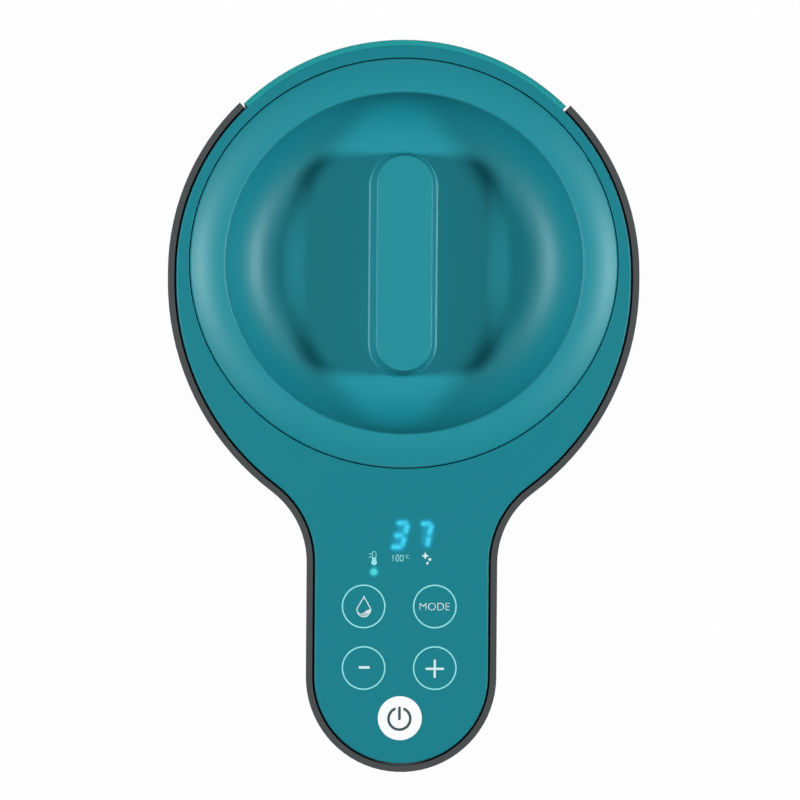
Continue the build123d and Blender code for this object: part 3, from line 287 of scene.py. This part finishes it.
def makePlastic(name, finish):
    material, tree, shader, coords = startMaterial(name)
    grain = placeGroup(tree, mouldedGrain, {
        "Coords": coords, "Grain Scale": finish["grain"], "Cloud Scale": finish["clouds"]})
    rub = placeGroup(tree, rubbedLines, {
        "Coords": coords, "Scale": finish["clouds"] * 2, "Width": rubWidth})
    colour = mixColours(tree, grain.outputs["Clouds"], finish["colour"], finish["shade"])
    rough = mapValue(tree, grain.outputs["Clouds"], *finish["rough"])
    marked = addNode(tree, "ShaderNodeMath", {
        0: rub.outputs["Lines"], 1: finish["rub"], 2: rough}, operation="MULTIPLY_ADD")
    bump = addNode(tree, "ShaderNodeBump", {
        "Height": grain.outputs["Height"], "Strength": finish["bump"], "Distance": grainDepth})
    feed(tree, shader, {
        "Base Color": colour, "Roughness": marked.outputs[0], "Normal": bump.outputs["Normal"]})
    shader.inputs["Specular IOR Level"].default_value = finish["specular"]
    if "tint" in finish:
        shader.inputs["Specular Tint"].default_value = finish["tint"]
    # painted glow: a finish that has it emits its own colour, though the piece is no lamp
    if "paintedGlow" in finish:
        feed(tree, shader, {"Emission Color": colour}, Emission_Strength=finish["paintedGlow"])
    return material


metalFinishes = {
    "stainless": {
        "colour": (0.62, 0.62, 0.61, 1), "shade": (0.54, 0.54, 0.535, 1), "rough": (0.26, 0.38),
        "squeeze": (1.0, 1.0, 0.04), "scale": 900.0, "bump": 0.05},
    "steelGrille": {
        "colour": (0.60, 0.60, 0.59, 1), "shade": (0.52, 0.52, 0.515, 1), "rough": (0.58, 0.70),
        "squeeze": (1.0, 0.04, 1.0), "scale": 900.0, "bump": 0.05},
    "screwSteel": {
        "colour": (0.56, 0.55, 0.53, 1), "shade": (0.46, 0.46, 0.45, 1), "rough": (0.42, 0.54),
        "squeeze": (1.0, 1.0, 0.2), "scale": 1500.0, "bump": 0.08},
    "heaterAluminium": {
        "colour": (0.70, 0.70, 0.71, 1), "shade": (0.60, 0.60, 0.62, 1), "rough": (0.45, 0.60),
        "squeeze": (1.0, 1.0, 1.0), "scale": 500.0, "bump": 0.25},
}


def makeMetal(name, finish):
    material, tree, shader, coords = startMaterial(name)
    brushed = placeGroup(tree, brushedMetal, {
        "Coords": coords, "Squeeze": finish["squeeze"], "Scale": finish["scale"]})
    colour = mixColours(tree, brushed.outputs["Streaks"], finish["colour"], finish["shade"])
    rough = mapValue(tree, brushed.outputs["Height"], *finish["rough"])
    bump = addNode(tree, "ShaderNodeBump", {
        "Height": brushed.outputs["Height"], "Strength": finish["bump"], "Distance": hairDepth})
    feed(tree, shader, {"Base Color": colour, "Roughness": rough, "Normal": bump.outputs["Normal"]},
         Metallic=1.0)
    return material


boardFinish = {
    "mask": (0.016, 0.120, 0.050, 1), "copper": (0.030, 0.200, 0.085, 1), "pitch": 260.0,
    "track": 0.05, "trackRun": 1.9, "trackRow": 0.6, "trackDepth": 0.00004, "bump": 0.3,
    "grain": 1200.0, "clouds": 50.0, "rough": (0.32, 0.44),
}


def makeBoard(name, finish):
    material, tree, shader, coords = startMaterial(name)
    tracks = addNode(tree, "ShaderNodeTexBrick", {
        "Vector": coords, "Color1": finish["mask"], "Color2": finish["mask"], "Mortar": finish["copper"],
        "Scale": finish["pitch"], "Mortar Size": finish["track"], "Brick Width": finish["trackRun"],
        "Row Height": finish["trackRow"]})
    grain = placeGroup(tree, mouldedGrain, {
        "Coords": coords, "Grain Scale": finish["grain"], "Cloud Scale": finish["clouds"]})
    rough = mapValue(tree, grain.outputs["Clouds"], *finish["rough"])
    bump = addNode(tree, "ShaderNodeBump", {
        "Height": tracks.outputs["Fac"], "Strength": finish["bump"], "Distance": finish["trackDepth"]})
    feed(tree, shader, {
        "Base Color": tracks.outputs["Color"], "Roughness": rough, "Normal": bump.outputs["Normal"]})
    return material


glowFinishes = {
    "glowDigit": {"core": (0.045, 0.620, 0.840, 1), "halo": (0.008, 0.330, 0.520, 1)},
    "glowLamp": {"core": (0.060, 0.660, 0.690, 1), "halo": (0.012, 0.420, 0.460, 1)},
}
glowBase = {
    "colour": (0.004, 0.020, 0.030, 1), "darker": 0.6, "grain": 900.0, "clouds": 120.0, "rough": (0.36, 0.44)}


# light through the panel: full in the middle of a stroke, nothing at its edge
def makeGlow(name, finish):
    material, tree, shader, coords = startMaterial(name)
    reach = addNode(tree, "ShaderNodeAttribute", attribute_name="glow").outputs["Fac"]
    grain = placeGroup(tree, mouldedGrain, {
        "Coords": coords, "Grain Scale": glowBase["grain"], "Cloud Scale": glowBase["clouds"]})
    colour = mixColours(tree, reach, finish["halo"], finish["core"])
    dark = tuple(part * glowBase["darker"] for part in glowBase["colour"][:3]) + (1,)
    base = mixColours(tree, grain.outputs["Clouds"], glowBase["colour"], dark)
    rough = mapValue(tree, grain.outputs["Clouds"], *glowBase["rough"])
    feed(tree, shader, {"Base Color": base, "Emission Color": colour, "Alpha": reach, "Roughness": rough},
         Emission_Strength=1.0)
    return material


fadeFinish = {
    "top": (0.93, 0.95, 0.95, 1), "foot": (0.36, 0.50, 0.58, 1), "span": (-0.0800, -0.0784),
    "rough": (0.42, 0.50), "grain": 1500.0, "clouds": 150.0,
}


# white ink that fades towards the foot of the drop
def makeFade(name, finish):
    material, tree, shader, coords = startMaterial(name)
    along = addNode(tree, "ShaderNodeSeparateXYZ", {"Vector": coords}).outputs["Y"]
    fade = addNode(tree, "ShaderNodeMapRange", {
        "Value": along, "From Min": finish["span"][0], "From Max": finish["span"][1]}).outputs["Result"]
    grain = placeGroup(tree, mouldedGrain, {
        "Coords": coords, "Grain Scale": finish["grain"], "Cloud Scale": finish["clouds"]})
    rough = mapValue(tree, grain.outputs["Clouds"], *finish["rough"])
    colour = mixColours(tree, fade, finish["foot"], finish["top"])
    feed(tree, shader, {"Base Color": colour, "Roughness": rough})
    return material


materials = {name: makePlastic(name, finish) for name, finish in plasticFinishes.items()}
materials["inkFade"] = makeFade("inkFade", fadeFinish)
materials.update({name: makeGlow(name, finish) for name, finish in glowFinishes.items()})
materials.update({name: makeMetal(name, finish) for name, finish in metalFinishes.items()})
materials["boardGreen"] = makeBoard("boardGreen", boardFinish)

slotFinishes = {
    "teal_plastic": "tealPlastic", "charcoal_plastic": "charcoalPlastic", "black_plastic": "blackPlastic",
    "white_plastic": "whitePlastic", "smoke_plastic": "smokePlastic", "rubber_black": "rubberBlack",
    "silicone_clear": "siliconeClear", "stainless": "stainless", "screw_steel": "screwSteel",
    "heater_aluminium": "heaterAluminium", "board_green": "boardGreen", "lamp_plastic": "lampPlastic",
    "foam_grey": "foamGrey",
}
# the rear cover takes the lighter teal copy, painted light on its rim
ownFinishes = {
    "rear_cover": "tealCoverPaintedLight", "lid_shell": "tealLid", "lid_grip": "tealLid", "drip_grille": "steelGrille",
}


def dressNode(name, material):
    node = nodes[name]
    if not node.material_slots:
        node.data.materials.append(material)
    for slot in node.material_slots:
        slot.material = material


for row in frame["record"]["subparts"]:
    finish = ownFinishes.get(row["node"], slotFinishes[row["material_slot"]])
    dressNode(row["node"], materials[finish])


# a finished mesh, in metres, becomes a piece in the scene
def addPiece(name, bm, finish):
    mesh = bpy.data.meshes.new(name)
    bm.to_mesh(mesh)
    bm.free()
    mesh.materials.append(materials[finish])
    piece = bpy.data.objects.new(name, mesh)
    scene.collection.objects.link(piece)
    return piece


# the grip's outer skin, in mm: a turned profile pulled apart into a bar with round ends
gripSetup = {
    "foot": 12.75, "top": 10.75, "bead": 0.6, "beadRise": 0.9, "beadShoulder": (0.8, 0.3),
    "edge": 0.6, "edgeSteps": 5, "turns": 72, "weld": 0.001, "middle": 0.01, "sharp": 40,
}


def makeGrip(setup):
    low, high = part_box("lid_grip")
    floor, top = low.z / mm, high.z / mm
    pull = (high.y - low.y) / mm / 2 - setup["foot"] - setup["bead"]
    lean = (setup["foot"] - setup["top"]) / (top - floor)
    beadTop = floor + setup["beadRise"]
    share, drop = setup["beadShoulder"]
    profile = [
        (0, floor), (setup["foot"] + setup["bead"], floor),
        (setup["foot"] + setup["bead"] * share, beadTop - drop),
        (setup["foot"] - lean * setup["beadRise"], beadTop)]
    for step in range(setup["edgeSteps"] + 1):
        angle = math.radians(90 * step / setup["edgeSteps"])
        profile.append((setup["top"] - setup["edge"] * (1 - math.cos(angle)),
                        top - setup["edge"] * (1 - math.sin(angle))))
    profile.append((0, top))
    bm = bmesh.new()
    chain = [bm.verts.new((radius, 0, height)) for radius, height in profile]
    edges = [bm.edges.new(pair) for pair in zip(chain, chain[1:])]
    half = math.pi / setup["turns"]
    bmesh.ops.rotate(bm, verts=chain, cent=(0, 0, 0), matrix=Matrix.Rotation(half, 3, "Z"))
    bmesh.ops.spin(bm, geom=[*chain, *edges], cent=(0, 0, 0), axis=(0, 0, 1), angle=2 * math.pi,
                   steps=setup["turns"], use_merge=True)
    bmesh.ops.remove_doubles(bm, verts=bm.verts, dist=setup["weld"])
    for vert in bm.verts:
        if abs(vert.co.y) > setup["middle"]:
            vert.co.y += math.copysign(pull, vert.co.y)
    bmesh.ops.recalc_face_normals(bm, faces=bm.faces)
    bmesh.ops.scale(bm, verts=bm.verts, vec=(mm, mm, mm))
    bmesh.ops.translate(bm, verts=bm.verts, vec=(0, (low.y + high.y) / 2, 0))
    piece = addPiece("gripSkin", bm, "tealLid")
    piece.data.shade_smooth()
    piece.data.set_sharp_from_angle(angle=math.radians(setup["sharp"]))
    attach(piece, "lid")
    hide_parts("lid_grip")


makeGrip(gripSetup)
print("grip dressed")

# lip that closes the seam between panel and rear cover: mm, and degrees to each side
lipSetup = {
    "coverRadius": 88.2, "inner": 85.75, "outer": 87.15, "low": 261.0, "high": 262.2, "half": 43.8,
    "steps": 64,
}


def makeLip(setup):
    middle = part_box("rear_cover")[1].y / mm - setup["coverRadius"]
    inner, outer, low, high = (setup[key] for key in ("inner", "outer", "low", "high"))
    upright = Matrix.Rotation(math.pi / 2, 4, "X")
    begin = Matrix.Rotation(math.radians(90 - setup["half"]), 3, "Z")
    bm = bmesh.new()
    corners = bmesh.ops.create_grid(bm, x_segments=1, y_segments=1, size=0.5, matrix=upright)["verts"]
    bmesh.ops.scale(bm, verts=corners, vec=(outer - inner, 1, high - low))
    bmesh.ops.translate(bm, verts=corners, vec=((outer + inner) / 2, 0, (high + low) / 2))
    bmesh.ops.rotate(bm, verts=corners, cent=(0, 0, 0), matrix=begin)
    bmesh.ops.spin(bm, geom=[*bm.faces, *bm.edges, *bm.verts], cent=(0, 0, 0), axis=(0, 0, 1),
                   angle=math.radians(2 * setup["half"]), steps=setup["steps"])
    bmesh.ops.recalc_face_normals(bm, faces=bm.faces)
    bmesh.ops.translate(bm, verts=bm.verts, vec=(0, middle, 0))
    bmesh.ops.scale(bm, verts=bm.verts, vec=(mm, mm, mm))
    # the lip wears the lighter teal copy, painted light on the cover's rim
    piece = addPiece("coverLip", bm, "tealCoverPaintedLight")
    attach(piece, "frame")


makeLip(lipSetup)
print("seam closed")

# prints stand a hair over the panel: drawn flat in mm, raised, then laid on it
printSetup = {
    "rise": 0.05, "sunk": 0.02, "shift": (-0.3, -0.17), "ringSteps": 96, "endSteps": 5, "endRound": 0.96,
    "strokeSides": 2, "strokeSteps": 10, "weld": 0.0001,
}


def shifted(place):
    return Matrix.Translation((place[0], place[1], 0))


def addRing(bm, place, middle, line):
    rims = []
    for radius in (middle - line / 2, middle + line / 2):
        rim = bmesh.ops.create_circle(
            bm, segments=printSetup["ringSteps"], radius=radius, matrix=shifted(place))["verts"]
        rims += list({edge for vert in rim for edge in vert.link_edges})
    bmesh.ops.bridge_loops(bm, edges=rims)


def addDisc(bm, place, radius):
    bmesh.ops.create_circle(
        bm, cap_ends=True, segments=printSetup["ringSteps"], radius=radius, matrix=shifted(place))


def roundCorners(bm, corners, radius):
    bmesh.ops.bevel(bm, geom=corners, offset=radius, offset_type="OFFSET", affect="VERTICES",
                    segments=printSetup["endSteps"], profile=0.5, material=-1)


def addBar(bm, start, stop, line):
    run = Vector(stop) - Vector(start)
    middle = (Vector(start) + Vector(stop)) / 2
    size = Matrix.Diagonal((run.length, line, 1, 1))
    turn = Matrix.Rotation(math.atan2(run.y, run.x), 4, "Z")
    corners = bmesh.ops.create_grid(
        bm, x_segments=1, y_segments=1, size=0.5, matrix=shifted(middle) @ turn @ size)["verts"]
    roundCorners(bm, corners, printSetup["endRound"] * line / 2)


def addArc(bm, place, middle, line, start, sweep):
    first = bmesh.ops.create_grid(bm, x_segments=1, y_segments=1, size=0.5)["verts"]
    bmesh.ops.delete(bm, geom=[vert for vert in first if vert.co.y > 0], context="VERTS")
    ends = [vert for vert in first if vert.is_valid]
    edge = bm.edges.get(ends)
    for vert in ends:
        vert.co = (middle + vert.co.x * line, 0, 0)
    begin = Matrix.Rotation(math.radians(start), 4, "Z")
    bmesh.ops.transform(bm, verts=ends, matrix=shifted(place) @ begin)
    last = bmesh.ops.spin(bm, geom=[*ends, edge], cent=(place[0], place[1], 0), axis=(0, 0, 1),
                          angle=math.radians(sweep), steps=printSetup["ringSteps"] // 2)["geom_last"]
    corners = ends + [item for item in last if isinstance(item, bmesh.types.BMVert)]
    roundCorners(bm, corners, printSetup["endRound"] * line / 2)


def curveMesh(name, curve):
    holder = bpy.data.objects.new(name, curve)
    scene.collection.objects.link(holder)
    mesh = bpy.data.meshes.new_from_object(holder)
    bpy.data.objects.remove(holder)
    return mesh


# a smooth stroke of the given line, or with no line a filled shape
def addStroke(bm, knots, line, place):
    curve = bpy.data.curves.new("stroke", "CURVE")
    curve.dimensions = "3D" if line else "2D"
    curve.bevel_depth = line / 2
    curve.bevel_resolution = printSetup["strokeSides"]
    curve.fill_mode = "FULL" if line else "BOTH"
    curve.use_fill_caps = bool(line)
    spline = curve.splines.new("BEZIER")
    spline.bezier_points.add(len(knots) - 1)
    spline.use_cyclic_u = knots[0] == knots[-1] or not line
    spline.resolution_u = printSetup["strokeSteps"]
    for point, knot in zip(spline.bezier_points, knots):
        point.co = (*knot, 0)
        point.handle_left_type = point.handle_right_type = "AUTO"
    drawn = bmesh.new()
    drawn.from_mesh(curveMesh("stroke", curve))
    if line:
        bmesh.ops.scale(drawn, verts=drawn.verts, vec=(1, 1, printSetup["rise"] * 2 / line))
    bmesh.ops.transform(drawn, verts=drawn.verts, matrix=shifted(place))
    mesh = bpy.data.meshes.new("stroke")
    drawn.to_mesh(mesh)
    drawn.free()
    bm.from_mesh(mesh)


def addWords(bm, words, place, size, thin):
    face = bpy.data.curves.new("words", "FONT")
    face.body = words
    face.offset = thin
    mesh = curveMesh("words", face)
    drawn = bmesh.new()
    drawn.from_mesh(mesh)
    bmesh.ops.remove_doubles(drawn, verts=drawn.verts, dist=printSetup["weld"])
    low = [min(vert.co[axis] for vert in drawn.verts) for axis in range(2)]
    high = [max(vert.co[axis] for vert in drawn.verts) for axis in range(2)]
    middle = [(a + b) / 2 for a, b in zip(low, high)]
    stretch = [wanted / (b - a) for wanted, a, b in zip(size, low, high)]
    fit = shifted(place) @ Matrix.Diagonal((*stretch, 1, 1)) @ shifted((-middle[0], -middle[1]))
    bmesh.ops.transform(drawn, verts=drawn.verts, matrix=fit)
    drawn.to_mesh(mesh)
    drawn.free()
    bm.from_mesh(mesh)


def raiseFlat(bm, amount):
    top = bmesh.ops.extrude_face_region(bm, geom=bm.faces[:])["geom"]
    lifted = [item for item in top if isinstance(item, bmesh.types.BMVert)]
    bmesh.ops.translate(bm, verts=lifted, vec=(0, 0, amount))
    bmesh.ops.recalc_face_normals(bm, faces=bm.faces)


def layPrint(name, bm, finish, lift=0.0):
    bmesh.ops.scale(bm, verts=bm.verts, vec=(mm, mm, mm))
    shift = Vector((*printSetup["shift"], lift - printSetup["sunk"])) * mm
    bmesh.ops.translate(bm, verts=bm.verts, vec=shift + Vector((0, 0, panelTop)))
    piece = addPiece(name, bm, finish)
    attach(piece, "frame")


keySetup = {
    "radius": 8.05, "line": 0.5, "drop": (-14.15, -76.55), "mode": (12.90, -76.45),
    "minus": (-14.0, -99.95), "plus": (13.05, -99.85),
}


def printKeyRings(setup):
    bm = bmesh.new()
    for key in ("drop", "mode", "minus", "plus"):
        addRing(bm, setup[key], setup["radius"], setup["line"])
    raiseFlat(bm, printSetup["rise"])
    layPrint("keyRings", bm, "inkAqua")


signSetup = {
    "minus": {"offset": (0.25, 0.22), "reach": 2.08, "line": 0.95},
    "plus": {"offset": (0.0, -0.27), "reach": 3.5, "line": 0.88},
    "corner": 0.25,
}


# three by three fields drawn in to the bar's width, corners or outer rows taken off
def printSign(key, setup):
    sign = setup[key]
    bm = bmesh.new()
    verts = bmesh.ops.create_grid(bm, x_segments=3, y_segments=3, size=sign["reach"])["verts"]
    for vert in verts:
        for axis in range(2):
            if abs(vert.co[axis]) < sign["reach"] / 2:
                vert.co[axis] = math.copysign(sign["line"] / 2, vert.co[axis])
    away = [face for face in bm.faces if abs(face.calc_center_median().y) > sign["line"] / 2
            and (key == "minus" or abs(face.calc_center_median().x) > sign["line"] / 2)]
    bmesh.ops.delete(bm, geom=away, context="FACES")
    ends = [vert for vert in bm.verts if len(vert.link_faces) == 1]
    roundCorners(bm, ends, setup["corner"])
    middle = Vector(keySetup[key]) + Vector(sign["offset"])
    bmesh.ops.transform(bm, verts=bm.verts, matrix=shifted(middle))
    raiseFlat(bm, printSetup["rise"])
    layPrint(key + "Sign", bm, "inkPale")


dropSetup = {
    "line": 0.4,
    "outline": [(0.15, 3.6), (-1.55, 0.75), (-2.5, -1.6), (0.1, -3.95), (2.6, -1.6), (1.75, 0.75),
                (0.15, 3.6)],
    "wave": [(-2.2, -2.3), (-1.2, -2.7), (0.2, -2.3), (1.3, -1.5), (2.25, -1.4), (2.2, -2.4),
             (1.5, -3.4), (0.1, -3.8), (-1.4, -3.3)],
}


def printDrop(setup):
    bm = bmesh.new()
    addStroke(bm, setup["outline"], setup["line"], keySetup["drop"])
    layPrint("dropOutline", bm, "inkPale", printSetup["sunk"])
    bm = bmesh.new()
    addStroke(bm, setup["wave"], 0, keySetup["drop"])
    raiseFlat(bm, printSetup["rise"])
    layPrint("dropFill", bm, "inkFade")


modeSetup = {"offset": (-0.05, -0.03), "size": (11.5, 2.85), "thin": -0.012}


def printMode(setup):
    bm = bmesh.new()
    middle = Vector(keySetup["mode"]) + Vector(setup["offset"])
    addWords(bm, "MODE", middle, setup["size"], setup["thin"])
    raiseFlat(bm, printSetup["rise"])
    layPrint("modeWord", bm, "inkPale")


powerSetup = {
    "place": (-0.09, -118.96), "disc": 8.36, "ringPlace": (-0.25, -119.17), "ring": 4.14, "line": 1.0,
    "gap": 38.6, "bar": [(-0.25, -119.74), (-0.25, -114.5)], "lift": 0.03,
}


def printPower(setup):
    bm = bmesh.new()
    addDisc(bm, setup["place"], setup["disc"])
    raiseFlat(bm, printSetup["rise"])
    # the power disc glows with painted light
    layPrint("powerDisc", bm, "glowPaintedWhite")
    bm = bmesh.new()
    addArc(bm, setup["ringPlace"], setup["ring"], setup["line"],
           90 + setup["gap"] / 2, 360 - setup["gap"])
    addBar(bm, *setup["bar"], setup["line"])
    raiseFlat(bm, printSetup["rise"])
    layPrint("powerSymbol", bm, "inkSlate", setup["lift"])


iconSetup = {
    "hundred": {"place": (-1.2, -58.15), "size": (4.15, 2.6), "thin": -0.003},
    "degree": {"place": (2.0, -57.55), "size": (2.2, 1.5), "thin": -0.003},
    "thermometer": {
        "place": (-10.30, -58.25), "line": 0.28, "bulb": (0, -1.6), "bulbRadius": 1.05,
        "stem": [(0, -1.4), (0, 0.4)], "stemLine": 0.9, "stemLower": 0.01,
        "tube": [(-0.66, -0.9), (-0.66, 0.6), (-0.66, 1.9), (0, 2.6), (0.66, 1.9), (0.66, 0.6),
                 (0.66, -0.9)],
        "dashes": [[(-1.95, 1.7), (-1.0, 1.7)], [(-1.95, 0.44), (-1.0, 0.44)]]},
    "sparkle": {
        "place": (9.12, -57.22), "reach": 1.4, "waist": 0.46, "corners": 8,
        "dots": [((10.87, -58.59), 0.58), ((9.96, -60.0), 0.48)]},
}


def printHundred(setup):
    bm = bmesh.new()
    addWords(bm, "100", **setup["hundred"])
    addWords(bm, "\u00b0C", **setup["degree"])
    raiseFlat(bm, printSetup["rise"])
    layPrint("hundredMark", bm, "inkAqua")


def printThermometer(setup):
    middle = Vector(setup["place"])
    bm = bmesh.new()
    addDisc(bm, middle + Vector(setup["bulb"]), setup["bulbRadius"])
    for start, stop in setup["dashes"]:
        addBar(bm, middle + Vector(start), middle + Vector(stop), setup["line"])
    raiseFlat(bm, printSetup["rise"])
    layPrint("thermometerMark", bm, "inkAqua")
    bm = bmesh.new()
    addBar(bm, *[middle + Vector(end) for end in setup["stem"]], setup["stemLine"])
    raiseFlat(bm, printSetup["rise"] - setup["stemLower"])
    layPrint("thermometerStem", bm, "inkAqua")
    bm = bmesh.new()
    addStroke(bm, setup["tube"], setup["line"], middle)
    layPrint("thermometerTube", bm, "inkAqua", printSetup["sunk"])


def printSparkle(setup):
    bm = bmesh.new()
    star = bmesh.ops.create_circle(
        bm, cap_ends=True, segments=setup["corners"], radius=setup["reach"])["verts"]
    inner = [vert for vert in star if min(abs(vert.co.x), abs(vert.co.y)) > setup["reach"] / 4]
    bmesh.ops.scale(bm, verts=inner, vec=(setup["waist"], setup["waist"], 1))
    bmesh.ops.transform(bm, verts=star, matrix=shifted(setup["place"]))
    for place, radius in setup["dots"]:
        addDisc(bm, place, radius)
    raiseFlat(bm, printSetup["rise"])
    layPrint("sparkleMark", bm, "inkPale")


glowSetup = {
    "width": 5.2, "feather": ((1.3, 0.40), (0.8, 1.0)), "rise": 0.026, "step": 0.004,
    "haloWidth": 8.4, "haloFeather": ((1.9, 0.14), (1.2, 0.40)),
    "halo": {"digitThree": [(1.7, -43.0), (-2.5, -56.2)], "digitSeven": [(10.3, -43.2), (8.5, -55.4)]},
    "digitThree": [
        [(-3.5, -44.9), (4.1, -44.7)], [(2.75, -43.5), (1.0, -50.6)], [(-4.4, -49.6), (2.5, -49.5)],
        [(1.75, -48.5), (-0.45, -55.6)], [(-5.5, -53.9), (1.7, -54.0)]],
    "digitSeven": [
        [(5.8, -45.1), (12.9, -44.9)], [(11.85, -43.5), (10.1, -51.2)], [(10.8, -48.2), (9.5, -55.3)]],
    "lamp": (-10.35, -63.4), "lampRadius": 2.5, "lampFeather": ((0.85, 0.4), (0.7, 1.0)),
}


# strength rises ring by ring from the edge in, kept with the points for the material
def featherFaces(bm, feather):
    reach = bm.verts.layers.float.new("glow")
    core = bm.faces[:]
    for width, strength in feather:
        bmesh.ops.inset_region(bm, faces=core, thickness=width, use_even_offset=True, use_boundary=True)
        for vert in {vert for face in core for vert in face.verts}:
            vert[reach] = strength


def glowDigit(name, setup):
    digit = bmesh.new()
    strokes = [(setup["halo"][name], setup["haloWidth"], setup["haloFeather"])]
    strokes += [(segment, setup["width"], setup["feather"]) for segment in setup[name]]
    for index, (segment, width, feather) in enumerate(strokes):
        bm = bmesh.new()
        addBar(bm, *segment, width)
        featherFaces(bm, feather)
        raiseFlat(bm, setup["rise"] + index * setup["step"])
        mesh = bpy.data.meshes.new(name)
        bm.to_mesh(mesh)
        bm.free()
        digit.from_mesh(mesh)
        bpy.data.meshes.remove(mesh)
    layPrint(name, digit, "glowDigit")


def glowLamp(setup):
    bm = bmesh.new()
    addDisc(bm, setup["lamp"], setup["lampRadius"])
    featherFaces(bm, setup["lampFeather"])
    raiseFlat(bm, setup["rise"])
    layPrint("lampGlow", bm, "glowLamp")


printKeyRings(keySetup)
printSign("minus", signSetup)
printSign("plus", signSetup)
printDrop(dropSetup)
printMode(modeSetup)
printPower(powerSetup)
printHundred(iconSetup)
printThermometer(iconSetup["thermometer"])
printSparkle(iconSetup["sparkle"])
glowDigit("digitThree", glowSetup)
glowDigit("digitSeven", glowSetup)
glowLamp(glowSetup)
print("keys, icons and digits laid")

# floor, white to the lens and plain to the light, with the shadow kept
floorSetup = {
    "half": 30.0, "drop": 0.0002, "glow": 0.96, "rough": 0.9,
    "colour": (0.90, 0.90, 0.90, 1), "fleck": (0.87, 0.87, 0.87, 1), "fleckScale": 6.0,
}


def layFloor(setup):
    bm = bmesh.new()
    bmesh.ops.create_grid(bm, x_segments=2, y_segments=2, size=setup["half"])
    bmesh.ops.translate(bm, verts=bm.verts, vec=(0, 0, -setup["drop"]))
    mesh = bpy.data.meshes.new("floor")
    bm.to_mesh(mesh)
    bm.free()
    floor = bpy.data.objects.new("floor", mesh)
    scene.collection.objects.link(floor)
    material, tree, shader, coords = startMaterial("floorPaper")
    fleck = addNode(tree, "ShaderNodeTexNoise", {"Vector": coords, "Scale": setup["fleckScale"]})
    colour = mixColours(tree, fleck.outputs["Fac"], setup["colour"], setup["fleck"])
    feed(tree, shader, {"Base Color": colour}, Roughness=setup["rough"])
    path = addNode(tree, "ShaderNodeLightPath")
    seen = addNode(tree, "ShaderNodeMath", {
        0: path.outputs["Is Camera Ray"], 1: path.outputs["Is Glossy Ray"]}, operation="MAXIMUM")
    through = addNode(tree, "ShaderNodeMath", {
        0: seen.outputs[0], 1: path.outputs["Is Transmission Ray"]}, operation="MAXIMUM")
    share = addNode(tree, "ShaderNodeMath", {
        0: through.outputs[0], 1: setup["glow"]}, operation="MULTIPLY")
    white = addNode(tree, "ShaderNodeEmission", {"Color": (1, 1, 1, 1), "Strength": 1.0})
    both = addNode(tree, "ShaderNodeMixShader", {
        0: share.outputs[0], 1: shader.outputs[0], 2: white.outputs[0]})
    tree.links.new(both.outputs[0], tree.nodes["Material Output"].inputs["Surface"])
    mesh.materials.append(material)


layFloor(floorSetup)
print("floor laid")
